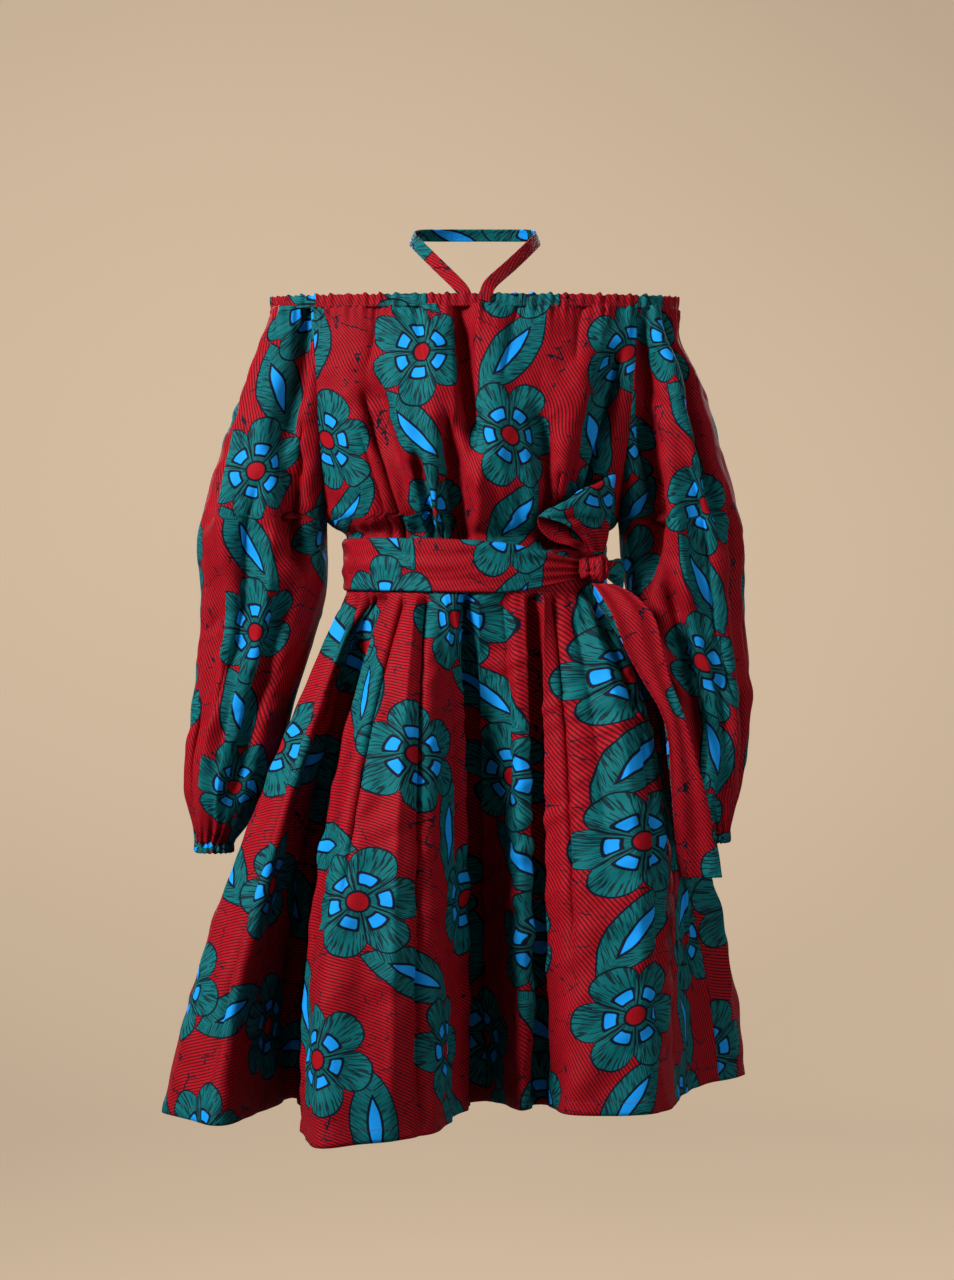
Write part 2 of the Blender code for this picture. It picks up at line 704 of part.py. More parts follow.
def make_belt(parent):
    """The belt's stretch round the waist: tall behind, narrowing to the knot, with lengthwise folds."""
    degrees = np.linspace(-180, 180, BELT_COLUMNS, endpoint=False)
    angles = column(BELT_MM, BELT_NAMES, "angle")
    top = flow_round(angles, column(BELT_MM, BELT_NAMES, "top", MM), degrees)
    bottom = flow_round(angles, column(BELT_MM, BELT_NAMES, "bottom", MM), degrees)
    lines = []
    for level, out in belt_outline():
        x, y, slope = waist_ring(np.radians(degrees), LYING_GAP + out)
        lines.append(np.stack([x, y, bottom + (top - bottom) * level], axis=-1))
    points = np.stack(lines, axis=1)
    return add_piece("belt_band", points, PRINT_TEAL, parent, row_ring=True, column_ring=True, closed=True)


def belt_outline():
    """The belt's section as (share of height, distance out): a flat back and a face with three folds."""
    level = np.linspace(0, 1, BELT_FACE_ROWS)
    out = BELT_THICK * (1 + BELT_FOLD * np.cos(BELT_FOLDS * 2 * math.pi * level))
    face = list(zip(level, out))
    back = [(1.0, 0.0), (0.5, 0.0), (0.0, 0.0)]
    return face + back


def knot_place():
    """The knot's centre and its three directions: along the belt, up, and out from the waist."""
    angle = np.array(math.radians(KNOT_ANGLE))
    x, y, slope = waist_ring(angle, LYING_GAP + (1 + BELT_FOLD) * BELT_THICK + KNOT_HALF[2] - KNOT_SETTLES)
    out = np.array([slope[0], slope[1], 0.0])
    up = np.array([0.0, 0.0, 1.0])
    return np.array([x, y, KNOT_HEIGHT]), np.cross(up, out), up, out


def make_knot(parent):
    """The knot: a flattened ball whose surface is drawn into slanting folds."""
    centre, along, up, out = knot_place()
    turn = np.linspace(0, 2 * math.pi, KNOT_COLUMNS, endpoint=False)[None, :]
    rise = np.linspace(0, math.pi, KNOT_ROWS)[:, None]
    swell = 1 + KNOT_FOLD * np.cos(KNOT_FOLDS * turn + KNOT_TWIST * rise) * np.sin(rise) ** 2
    round_off = np.sin(rise) ** KNOT_SQUARE
    a = KNOT_HALF[0] * np.cos(rise) * np.ones_like(turn)
    b = KNOT_HALF[1] * round_off * np.cos(turn) * swell
    c = KNOT_HALF[2] * round_off * np.sin(turn) * np.minimum(swell, 1.0)
    points = centre + a[..., None] * along + b[..., None] * up + c[..., None] * out
    return add_piece("belt_knot", points, PRINT_RED, parent, column_ring=True, closed=True)


def make_loop(parent):
    """The bow loop: a strip that leaves the knot, turns over at the top and comes back behind itself."""
    left_x, left_z, right_x, right_z, stand = named_rows(LOOP_MM, LOOP_NAMES, LOOP_ROWS)
    share = np.linspace(0, 1, LOOP_COLUMNS)[None, :]
    x = left_x + (right_x - left_x) * share
    z = left_z + (right_z - left_z) * share
    y = bodice_front_depth(x, np.maximum(z, UNDERARM)) - stand
    return add_piece("belt_loop", np.stack([x, y, z], axis=-1), PRINT_TEAL, parent, thick=TAIL_THICK)


def make_tail(name, table, behind, colour, parent):
    """A hanging end: its edges from the table, in front of the skirt and of the depth it hangs at."""
    z, left_x, right_x, left_off, right_off = named_rows(table, TAIL_NAMES, TAIL_ROWS)
    share = np.linspace(0, 1, TAIL_COLUMNS)[None, :]
    x = left_x + (right_x - left_x) * share
    off = left_off + (right_off - left_off) * share
    z = z + 0 * x
    keys, depths = np.array(TAIL_DEPTH_MM, float).T * MM
    hang = flow(keys, depths, z) + behind
    skirt = skirt_front_depth(x.ravel(), z.ravel()).reshape(x.shape)
    y = np.minimum(skirt, hang) - off
    return add_piece(name, np.stack([x, y, z], axis=-1), colour, parent, thick=TAIL_THICK)


def main():
    """Clears the scene and makes the dress, piece by piece, under one empty."""
    for old in list(bpy.data.objects):
        bpy.data.objects.remove(old, do_unlink=True)
    dress = bpy.data.objects.new("halter_dress", None)
    dress.location = (0.0, -(NAPE_Y - STRAP_THICK), -NAPE_Z)
    bpy.context.scene.collection.objects.link(dress)

    make_bodice("bodice_front", -1, PRINT_RED, dress)
    make_bodice("bodice_back", 1, PRINT_RED, dress)
    make_sleeve("sleeve_left", 1, PRINT_TEAL, dress)
    make_sleeve("sleeve_right", -1, PRINT_TEAL, dress)
    ring = neck_ring(CASING_WAVES * COLUMNS_PER_WAVE)
    gathered_ring("neck_casing", ring, CASING_TALL, CASING_THICK, CASING_WAVES, CASING_WAVE_DEPTH,
                  CASING_WAVE_RISE, PRINT_RED, dress)
    make_cuff("cuff_left", 1, PRINT_RED, dress)
    make_cuff("cuff_right", -1, PRINT_RED, dress)
    make_strap(dress)
    make_belt(dress)
    make_knot(dress)
    make_loop(dress)
    make_tail("belt_tail_wide", WIDE_TAIL_MM, 0.0, PRINT_TEAL, dress)
    make_tail("belt_tail_narrow", NARROW_TAIL_MM, NARROW_BEHIND, PRINT_RED, dress)
    make_skirt("skirt_front", -90, 90, PRINT_RED, dress)
    make_skirt("skirt_back", 90, 270, PRINT_RED, dress)


main()
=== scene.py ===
"""Halter dress in printed cotton: an off-shoulder mini dress with a neck strap, balloon sleeves, a tie
belt and a full skirt, in the hollow form it has when worn.

Dress coordinates put height 0 at the waist seam, with the front facing -Y and +Z up. DRESS_AT moves a
finished surface to the frame, whose origin is the strap's inner face at the nape. Sizes are in metres.
"""

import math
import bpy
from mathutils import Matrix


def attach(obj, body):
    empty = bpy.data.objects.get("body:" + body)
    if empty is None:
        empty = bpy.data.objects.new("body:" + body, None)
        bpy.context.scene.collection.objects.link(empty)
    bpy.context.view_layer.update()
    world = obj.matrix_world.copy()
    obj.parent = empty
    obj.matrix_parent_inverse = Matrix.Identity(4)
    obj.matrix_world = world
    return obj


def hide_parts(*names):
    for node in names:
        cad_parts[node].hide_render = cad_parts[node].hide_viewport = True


bl_info = {
    "name": "Halter Dress",
    "version": (1, 0, 0),
    "blender": (4, 5, 0),
    "location": "3D View > Sidebar > Halter Dress",
    "description": "Builds a worn, hollow halter dress in printed cotton, piece by piece",
    "category": "Add Mesh",
}

import bmesh
import bpy
import numpy as np
from bpy.props import FloatProperty, FloatVectorProperty, PointerProperty
from mathutils import Vector

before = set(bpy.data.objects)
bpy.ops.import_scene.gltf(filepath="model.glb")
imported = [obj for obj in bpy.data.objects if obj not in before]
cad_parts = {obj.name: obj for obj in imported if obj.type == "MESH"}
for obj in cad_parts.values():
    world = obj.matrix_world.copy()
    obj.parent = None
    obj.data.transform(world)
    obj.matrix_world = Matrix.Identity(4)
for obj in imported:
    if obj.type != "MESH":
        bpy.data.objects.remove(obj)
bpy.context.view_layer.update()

MM = 0.001
UV_NAME = "cloth"
UP = np.array([0.0, 0.0, 1.0])

# Seams and gaps: SEAM_UNDER is how far an edge runs on under the next piece, TUCK how far into a casing
SEAM_GAP = 0.3 * MM
SEAM_UNDER = 0.8 * MM
LYING_GAP = 0.8 * MM
TUCK = 3 * MM

# Heights that pieces share
UNDERARM = 45 * MM
SKIRT_START = -30 * MM
FRONT_DIP = 0.05
DIP_FADES_AT = 150 * MM

# How folds end: they start shallow at the casing, ridges stop above the belt, valleys run in under it
HELD_SHARE = 0.35
FOLD_SETTLES = 45 * MM
WAIST_CLEAR = 29 * MM
RIDGES_FADE = 14 * MM
VALLEYS_END = 10 * MM
VALLEYS_FADE = 16 * MM

# Creases: how rounded their tips are, and how far cloth slides to them, in half widths
CREASE_TIP = 0.35
SLIDE_MOST = 0.55

# Scattered creases: how high they add up at most, and steps that never bring two of them to one place
SCATTER_MOST = 1.6
SCATTER_STEPS = (0.6180340, 0.7548777)

# Neck casing and cuffs
CASING_MIDDLE = 272.5 * MM
CASING_TALL = 13.5 * MM
CASING_THICK = 3.0 * MM
CASING_WAVES = 60
CASING_RISE = 1.7 * MM
CASING_SWING = 2.0 * MM
CASING_OVAL = (0.6, 0.7)
CLOTH_TOP = CASING_MIDDLE - CASING_TALL / 2 + TUCK
CUFF_TALL = 12.5 * MM
CUFF_THICK = 2.8 * MM
CUFF_WAVES = 20
CUFF_SWING = 1.3 * MM
CUFF_INSIDE = 0.75 * MM
WAVE_STEPS = 16

# Halter strap
STRAP_WIDE = 13.5 * MM
STRAP_THICK = 2.0 * MM
STRAP_CLOTH = 1.4 * MM
STRAP_TILT = 30 * MM
NAPE_Y = 60 * MM
NAPE_Z = 354 * MM
DRESS_AT = np.array([0.0, -(NAPE_Y - STRAP_THICK), -NAPE_Z])

# Tie belt
BELT_THICK = 3.0 * MM
BELT_FOLD = 0.35
KNOT_ANGLE = 57.0
KNOT_FACES = math.radians(28)
KNOT_HEIGHT = -5 * MM
KNOT_HALF_WIDE = 21 * MM
KNOT_HALF_DEEP = 14 * MM
KNOT_SETTLES = 0.45 * MM
KNOT_FLAP_FROM = 0.35
KNOT_FLAP_DROP = 11 * MM
TAIL_FULL_WIDTH = 40 * MM

# The knot from its left end (-1) to its right end (+1): half its height and half its depth in mm
KNOT_SHAPE = (
    (-1.0, 0.5, 0.5),
    (-0.94, 6.5, 4.5),
    (-0.62, 9.0, 7.5),
    (-0.46, 12.0, 12.0),
    (-0.1, 14.0, 14.0),
    (0.26, 12.5, 12.5),
    (0.38, 9.0, 8.0),
    (0.6, 11.0, 6.0),
    (0.9, 15.5, 4.0),
    (0.97, 14.0, 3.0),
    (1.0, 8.0, 0.5),
)
ENVELOPE_REACH = 10 * MM

# The bodice by height: where its side or raglan seams run, and how far front and back stand out
BODICE_NAMES = ("height", "left", "right", "front", "back")
BODICE_MM = (
    (274, -166, 166, 98, 92),
    (235, -165, 165, 108, 96),
    (190, -163, 163, 117, 99),
    (140, -161, 159, 123, 100),
    (95, -158, 154, 124, 99),
    (62, -156, 151, 117, 95),
    (45, -155, 150, 107, 91),
    (39, -149, 146, 102, 89),
    (34, -139, 139, 97, 87),
    (30, -135, 135, 94, 84),
    (27, -135, 135, 93, 84),
    (20, -135, 135, 93, 84),
    (0, -135, 135, 93, 84),
    (-40, -135, 135, 93, 84),
)

# The sleeves by height: outer edge, width from side to side, half depth and centre line
SLEEVE_NAMES = ("height", "outer", "across", "half_depth", "middle")
SLEEVE_LEFT_MM = (
    (274, 213, 98, 70, 0),
    (236, 220, 108, 72, 0),
    (200, 237, 118, 74, 0),
    (152, 250, 124, 76, 0),
    (100, 264, 127, 76, 0),
    (45, 280, 130, 74, 0),
    (5, 285, 132, 70, 0),
    (-37, 284, 124, 67, -1),
    (-90, 287, 116, 63, -2),
    (-142, 291, 104, 59, -3),
    (-190, 291, 96, 55, -4),
    (-226, 284, 84, 49, -5),
    (-256, 274, 60, 36, -6),
    (-278, 267, 36, 22, -7),
)
SLEEVE_RIGHT_MM = (
    (274, 213, 98, 70, 0),
    (231, 224, 110, 72, 0),
    (173, 247, 122, 75, 0),
    (121, 266, 129, 77, 0),
    (68, 282, 133, 76, 0),
    (45, 288, 133, 75, 0),
    (26, 291, 136, 73, 1),
    (-26, 289, 133, 69, 5),
    (-89, 292, 119, 64, 12),
    (-142, 299, 109, 60, 18),
    (-205, 310, 104, 56, 24),
    (-247, 308, 84, 48, 26),
    (-276, 299, 56, 33, 26),
    (-291, 296, 40, 22, 26),
)

# Where the skirt's folds fall: the angle round the waist that each comes from, its place at the hem,
# and its swell, which is 1 for a straight fall and more where the cloth stands out at once
SKIRT_NAMES = ("angle", "hem_x", "hem_y", "hem_z", "swell")
SKIRT = (
    (-100, -268, 34, -560, 1.20),
    (-85, -322, -30, -566, 1.35),
    (-72, -300, -82, -568, 1.35),
    (-61, -252, -116, -570, 1.60),
    (-52, -212, -20, -567, 1.90),
    (-46, -190, 34, -566, 2.00),
    (-41, -176, -70, -572, 2.10),
    (-36, -163, -192, -578, 2.10),
    (-29, -112, -203, -575, 2.10),
    (-21, -45, -172, -571, 2.60),
    (-12, -20, -60, -569, 2.20),
    (-3, 5, 22, -568, 2.00),
    (7, 26, -14, -563, 2.00),
    (18, 48, -80, -561, 2.00),
    (27, 70, -46, -561, 2.00),
    (36, 94, -104, -561, 2.10),
    (47, 140, -115, -561, 3.00),
    (58, 183, -105, -560, 4.00),
    (66, 200, -74, -560, 4.60),
    (75, 220, 6, -557, 2.40),
    (85, 244, 56, -554, 1.50),
    (98, 286, 92, -551, 1.60),
    (108, 290, 134, -551, 1.70),
    (119, 248, 164, -553, 1.80),
    (130, 206, 114, -556, 1.80),
    (140, 194, 188, -556, 1.80),
    (151, 128, 128, -559, 1.80),
    (161, 96, 206, -560, 1.80),
    (171, 46, 140, -560, 1.80),
    (180, 4, 212, -562, 1.80),
    (189, -44, 142, -562, 1.80),
    (199, -96, 204, -562, 1.80),
    (209, -132, 130, -561, 1.80),
    (219, -202, 184, -562, 1.80),
    (230, -214, 106, -560, 1.70),
    (242, -284, 116, -562, 1.50),
    (252, -290, 74, -561, 1.30),
)

# Large folds pressed into a bodice panel: from the upper to the lower end, negative depth is a valley
FOLD_NAMES = ("upper_x", "upper_z", "lower_x", "lower_z", "half_wide", "depth")
FRONT_FOLDS_MM = (
    (-19, 290, 0, 104, 13, -15),
    (26, 290, 18, 80, 16, 8),
    (-46, 290, -36, 110, 15, 8),
    (-116, 205, -58, 0, 13, -16),
    (-88, 210, -34, 0, 12, 6),
    (-64, 118, -44, 0, 9, -12),
    (-30, 160, -13, 0, 10, -14),
    (-48, 120, -30, 0, 8, 5),
    (4, 110, 8, 0, 8, 5),
    (66, 160, 78, 0, 11, -12),
    (150, 228, 94, 0, 14, -18),
    (118, 240, 70, 30, 16, 8),
)
BACK_FOLDS_MM = (
    (0, 290, 2, 60, 14, -11),
    (-104, 230, -54, 0, 14, -13),
    (-64, 200, -28, 0, 13, 7),
    (104, 225, 56, 0, 14, -13),
    (62, 205, 30, 0, 13, 7),
    (-26, 120, -16, 0, 10, -9),
    (34, 130, 26, 0, 10, -9),
)

# Crisp creases that lie in and between the large folds
FRONT_CREASES_MM = (
    (-20, 292, 0, 116, 6, -6.5),
    (-27, 285, -22, 120, 6, 3.6),
    (5, 285, 4, 100, 6, 3.8),
    (46, 285, 30, 190, 6, -3.4),
    (-66, 285, -52, 200, 6, -3.4),
    (-98, 285, -110, 200, 7, -4.2),
    (112, 285, 102, 205, 6, -3.6),
    (140, 285, 128, 225, 6, 2.2),
    (-114, 178, -62, 0, 5, -9.5),
    (-122, 140, -84, 14, 5, -5.0),
    (-96, 120, -60, 8, 5, 3.4),
    (-62, 112, -44, 0, 4, -8.0),
    (-34, 96, -30, 0, 4, -6.0),
    (-28, 150, -12, 0, 4, -8.5),
    (4, 92, 5, 0, 4, 3.0),
    (68, 150, 76, 0, 5, -8.0),
    (56, 96, 60, 4, 5, 2.6),
    (88, 96, 88, 0, 4, -5.5),
    (148, 222, 100, 20, 6, -9.5),
    (128, 150, 92, 20, 6, 3.4),
    (120, 106, 106, 0, 5, -7.0),
)
BACK_CREASES_MM = (
    (0, 285, 2, 120, 5, -5.5),
    (22, 285, 20, 150, 6, 2.0),
    (-24, 285, -20, 160, 6, 2.2),
    (60, 285, 50, 190, 6, -2.2),
    (-74, 285, -62, 180, 6, -2.0),
    (112, 285, 118, 200, 6, -2.4),
    (-118, 285, -120, 205, 6, 2.2),
    (-102, 196, -56, 0, 5, -8.0),
    (-80, 140, -46, 26, 5, 2.2),
    (-28, 130, -18, 0, 5, -6.5),
    (14, 110, 12, 24, 5, 2.0),
    (36, 130, 27, 0, 5, -6.5),
    (104, 190, 57, 0, 5, -8.0),
    (84, 140, 48, 26, 5, 2.2),
    (128, 110, 108, 26, 6, -2.6),
    (-130, 105, -106, 26, 6, -2.4),
)

# Long folds of a sleeve: its angle at the upper and lower end, with 0 outside and -180 to the front
SLEEVE_FOLD_NAMES = ("upper_turn", "upper_z", "lower_turn", "lower_z", "half_wide", "depth")
SLEEVE_LEFT_FOLDS = (
    (-78, 290, -132, 0, 15, -15),
    (-64, 290, -66, 60, 10, 5),
    (-46, 290, -50, 40, 10, -8),
    (0, 290, 6, 190, 12, -4),
    (44, 290, 36, 170, 12, -4),
    (78, 290, 122, 60, 15, -10),
    (-82, 90, -74, -200, 12, -6),
    (-34, 60, -30, -210, 12, -5),
    (-112, 10, -104, -230, 11, -6),
    (30, 60, 44, -180, 13, -5),
    (88, 40, 84, -220, 13, -6),
    (-58, -130, -56, -300, 10, 5),
    (-5, -150, -5, -300, 12, -5),
    (140, -160, 140, -300, 14, -6),
)
SLEEVE_RIGHT_FOLDS = (
    (-74, 290, -92, 100, 14, -12),
    (-100, 120, -136, 0, 13, -10),
    (-24, 290, -60, -20, 12, 6),
    (-2, 290, -38, 40, 11, -6),
    (38, 290, 34, 170, 12, -4),
    (78, 290, 122, 60, 15, -10),
    (-84, 60, -78, -210, 12, -6),
    (-40, 10, -44, -220, 12, -5),
    (-116, -10, -108, -240, 11, -6),
    (28, 50, 44, -190, 13, -5),
    (86, 30, 84, -230, 13, -6),
    (-62, -140, -60, -310, 10, 5),
    (0, -150, 0, -310, 12, -5),
    (146, -170, 146, -310, 14, -6),
)
TURN_TO_MM = 1.1
SLEEVE_FOLD_SCALE = 1.6

# Crisp creases of a sleeve, in the same terms
SLEEVE_LEFT_CREASES = (
    (-84, 290, -134, -20, 6, -10),
    (-64, 285, -72, 140, 7, 3.6),
    (-47, 290, -52, 30, 5, -8.0),
    (-20, 285, -12, 170, 6, -4.0),
    (22, 285, 26, 190, 6, -3.0),
    (64, 285, 74, 120, 6, -4.0),
    (-76, 120, -66, -120, 6, -5.5),
    (-100, 70, -92, -40, 6, 3.0),
    (-28, 90, -36, -70, 6, -4.6),
    (-112, -10, -100, -220, 6, -6.0),
    (-58, -60, -52, -246, 6, -5.5),
    (-86, -70, -80, -250, 6, 3.2),
    (-8, 30, -14, -130, 6, -3.6),
    (30, 90, 48, -60, 7, -4.6),
    (84, 30, 78, -150, 7, -5.0),
    (-28, -120, -30, -252, 6, -4.4),
    (16, -106, 12, -252, 6, -4.4),
    (58, -120, 56, -252, 6, -4.4),
    (118, -100, 112, -250, 6, -4.4),
)
SLEEVE_RIGHT_CREASES = (
    (-76, 290, -96, 110, 6, -7.0),
    (-104, 150, -138, -10, 6, -8.5),
    (-46, 285, -56, 160, 7, 3.2),
    (-4, 290, -42, 60, 5, -6.5),
    (28, 285, 24, 190, 6, -3.0),
    (66, 285, 74, 120, 6, -4.0),
    (-80, 90, -72, -130, 6, -5.5),
    (-104, 40, -96, -60, 6, 3.0),
    (-50, 40, -50, -110, 6, -4.6),
    (-114, -30, -102, -232, 6, -6.0),
    (-62, -90, -58, -258, 6, -5.5),
    (-88, -80, -84, -260, 6, 3.2),
    (-14, 10, -22, -150, 6, -3.6),
    (32, 80, 48, -70, 7, -4.6),
    (86, 20, 80, -170, 7, -5.0),
    (-34, -140, -34, -264, 6, -4.4),
    (10, -120, 8, -264, 6, -4.4),
    (56, -130, 56, -264, 6, -4.4),
    (120, -110, 116, -262, 6, -4.4),
)

# Narrow pleat lines of the skirt: the angle each comes from, where along the fall it starts and ends,
# its half width and its depth, negative for a valley
PLEAT_NAMES = ("angle", "starts", "ends", "half_wide", "depth")
FRONT_PLEATS_MM = (
    (-84, 0.00, 0.80, 5, -6),
    (-76, 0.02, 0.90, 7, 3),
    (-66, 0.00, 0.90, 5, -7),
    (-60, 0.05, 0.70, 6, 3),
    (-55, 0.00, 0.62, 4, -6),
    (-49, 0.00, 0.95, 5, -6),
    (-43, 0.00, 0.98, 4, -8),
    (-39, 0.00, 0.98, 4, 4),
    (-33, 0.00, 0.55, 4, -5),
    (-26, 0.00, 0.98, 5, 4),
    (-22, 0.00, 0.98, 4, -9),
    (-14, 0.00, 0.60, 6, 3),
    (-9, 0.00, 0.98, 5, 4),
    (-4, 0.00, 1.00, 4, -11),
    (2, 0.00, 0.98, 5, 4),
    (12, 0.00, 0.45, 5, -4),
    (21, 0.00, 0.98, 5, 4),
    (26, 0.00, 1.00, 4, -11),
    (31, 0.00, 0.90, 4, 4),
    (37, 0.00, 0.70, 4, -6),
    (47, 0.05, 0.50, 6, -4),
    (54, 0.00, 0.80, 7, 3),
    (61, 0.00, 0.90, 5, -5),
    (70, 0.00, 0.90, 5, -6),
    (78, 0.00, 0.80, 5, -6),
    (86, 0.00, 0.70, 6, 3),
)
BACK_PLEATS_MM = tuple(
    (98 + 9.1 * i + 2.4 * math.sin(2.3 * i), 0.0, 0.55 + 0.3 * math.sin(1.7 * i + 1.0) ** 2,
     4.5 + math.sin(3.1 * i), -7.5 if i % 2 else 3.5)
    for i in range(18)
)

# The belt round the waist: its upper and lower edge by angle
BELT_NAMES = ("angle", "top", "bottom")
BELT_MM = (
    (-90, 27, -27),
    (-45, 26, -29),
    (0, 23, -31),
    (11, 21, -31),
    (28, 14, -26),
    (48, 5, -17),
    (57, 3, -14),
    (66, 5, -15),
    (80, 15, -22),
    (100, 25, -27),
    (122, 27, -28),
    (180, 27, -28),
)

# The strap's middle line, from behind the casing, round the nape, to the front of the casing
STRAP_MM = (
    (-9, -91.8, 267),
    (-14, -90, 280),
    (-39, -52, 309),
    (-61, -20, 334),
    (-67, 6, 344),
    (-60, 32, 350),
    (-36, 53, 353),
    (0, 60, 354),
    (36, 53, 353),
    (60, 32, 350),
    (67, 6, 344),
    (60, -22, 333),
    (38, -60, 308),
    (17, -98, 285),
    (11, -102.7, 273),
    (9, -103, 266),
)

# The bow loop, along its length: left edge x and z, right edge x and z, and how far it stands off the bodice
LOOP_MM = (
    (116, 11.2, 133, 12.2, 24),
    (108, 25, 136, 26, 26),
    (92, 38, 139, 52, 27),
    (72, 44, 142, 78, 22),
    (66, 46, 143, 90, 15),
    (64, 44, 141, 90, 8),
    (66, 34, 138, 72, 4),
    (80, 22, 134, 44, 5),
    (104, 16, 131, 23, 9),
    (113, 11.4, 129, 12.4, 12),
)

# The hanging ends of the belt: height, left and right edge, and how far each edge stands off the skirt
WIDE_TAIL_MM = (
    (-21, 120, 141, 2.6, 2.4),
    (-32, 128, 163, 9, 6),
    (-55, 141, 183, 12, 9),
    (-89, 154, 192, 10, 9),
    (-120, 171, 200, 13, 9),
    (-151, 189, 212, 16, 9),
    (-181, 197, 221, 15, 9),
    (-236, 201, 236, 11, 8),
    (-291, 206, 249, 9, 9),
    (-323, 212, 254, 8, 9),
)
NARROW_TAIL_MM = (
    (-23.5, 118, 130, 6, 5),
    (-42, 128, 140, 4, 4),
    (-89, 156, 168, 4, 4),
    (-126, 182, 194, 4, 4),
    (-151, 193, 204, 4, 4),
    (-202, 198, 209, 4, 4),
    (-249, 203, 213, 4, 4),
    (-314, 205, 219, 4, 4),
    (-380, 206, 221, 4, 4),
    (-413, 210, 220, 4, 4),
)
TAIL_DEPTH_MM = ((-20, -70), (-60, -80), (-120, -80), (-190, -82), (-240, -78), (-291, -66), (-413, -58))
NARROW_BEHIND = 14 * MM

# The skirt is cut as part of a ring: its radius at the waist
SKIRT_CUT_RADIUS = 0.16
SKIRT_LOWEST = -560 * MM
WAIST_RADIUS = 0.115
HEM_TALL = 12 * MM

# Where the print starts on the panels that meet at the neckline, going round from the front
PANEL_PRINT = {"front": (0.020, 0.052), "left": (0.030, 0.045), "back": (0.071, 0.090), "right": (0.090, 0.0)}
PRINT_NAME = "flower and leaf print"
THREAD_PITCH = 0.55 * MM

# Camera and room
CAMERA_TARGET = (0.0021, -0.058, -0.433)
CAMERA_DISTANCE = 3.2
CAMERA_LENS = 85.7
ROOM_REACH = 5.5
ROOM_COVE = 1.2
ROOM_TALL = 4.5
FLOOR_Z = -1.63

# The lights: name, place, size and the setting that holds their power
LIGHT_SPREAD = math.radians(70)
LIGHTS = (
    ("key", (-2.6, -2.2, 1.3), 1.0, "key_power"),
    ("fill", (2.6, -2.2, 0.1), 1.8, "fill_power"),
    ("back_left", (-1.3, 2.9, 1.0), 1.6, "back_power"),
    ("back_right", (1.3, 2.9, 1.0), 1.6, "back_power"),
)

# The backdrop's painted light: its glow is brightest at this x and z, and falls with the square of the
# distance, to a least
GLOW_AT = (-0.5, 0.1)
GLOW_FALLS = (0.05, 0.075)
GLOW_LEAST = 0.74


def column(table, names, name, scale=1.0):
    """One named column of a table, as an array."""
    return np.array([row[names.index(name)] for row in table], float) * scale


def flow(keys, values, at):
    """A smooth curve through (key, value) pairs.

    It is made of cubic pieces, and its slope at a key is the slope between the key's neighbours.
    """
    order = np.argsort(keys)
    keys = np.asarray(keys, float)[order]
    values = np.asarray(values, float)[order]
    slopes = np.gradient(values, keys)
    at = np.clip(at, keys[0], keys[-1])
    spot = np.clip(np.searchsorted(keys, at, side="right") - 1, 0, len(keys) - 2)
    step = keys[spot + 1] - keys[spot]
    t = (at - keys[spot]) / step
    start = values[spot] + t * t * (3 - 2 * t) * (values[spot + 1] - values[spot])
    return start + step * t * (1 - t) * ((1 - t) * slopes[spot] - t * slopes[spot + 1])


def flow_round(angles, values, at):
    """The same curve where the key is an angle in degrees that comes round again."""
    angles = np.asarray(angles, float)
    keys = np.concatenate((angles - 360, angles, angles + 360))
    return flow(keys, np.tile(np.asarray(values, float), 3), at)


def rows_along(table, count):
    """Points at even steps along the rows of a table, on a smooth curve through them."""
    rows = np.array(table, float)
    at = np.linspace(0, len(rows) - 1, count)
    keys = np.arange(len(rows))
    return np.stack([flow(keys, rows[:, i], at) for i in range(rows.shape[1])], axis=-1)


def ease(x):
    """Rises from 0 to 1 as x does, flat at both ends."""
    x = np.clip(x, 0, 1)
    return x * x * (3 - 2 * x)


def from_edges(share, wide):
    """0 at both edges of a piece, where share is -1 and 1, rising to 1 over a share of its width."""
    return ease((1 - np.abs(share)) / wide)


def unit(vectors):
    """Vectors divided by their lengths."""
    return vectors / np.maximum(np.linalg.norm(vectors, axis=-1, keepdims=True), 1e-12)


def squared_up(wave, power):
    """A sine or cosine to a power below 1, with its sign kept, which makes an oval squarer."""
    return np.sign(wave) * np.abs(wave) ** power


def read_at(at, run, values):
    """Each column of values, read at places on a line whose points lie at the distances in run."""
    return np.stack([np.interp(at, run, each) for each in values.T], axis=-1)


def fold_relief(folds, names, across, height, scale, half_scale, profile=None):
    """The sum of long ridges and valleys, each fading at its two ends.

    A soft one has the bell profile exp(-gap squared). Another profile is a function of the gap.
    """
    profile = profile or (lambda gap: np.exp(-(gap ** 2)))
    total = np.zeros(np.broadcast(across, height).shape)
    upper, lower = names[0], names[2]
    for row in folds:
        fold = dict(zip(names, row))
        run = (fold["upper_z"] * MM - height) / ((fold["upper_z"] - fold["lower_z"]) * MM)
        middle = (fold[upper] + (fold[lower] - fold[upper]) * run) * scale
        gap = (across - middle) / (fold["half_wide"] * half_scale)
        total += fold["depth"] * MM * profile(gap) * ease(run / 0.25 + 0.2) * ease((1.12 - run) / 0.3)
    return total


def crisp(gap):
    """A crease's profile: it falls off as exp(-gap) on both sides of a rounded tip."""
    return np.exp(CREASE_TIP - np.sqrt(gap ** 2 + CREASE_TIP ** 2))


def gather_in(gap):
    """How far cloth slides towards a crease, which makes its walls steep: gap * exp(-gap squared / 2)."""
    return gap * np.exp(-(gap ** 2) / 2)


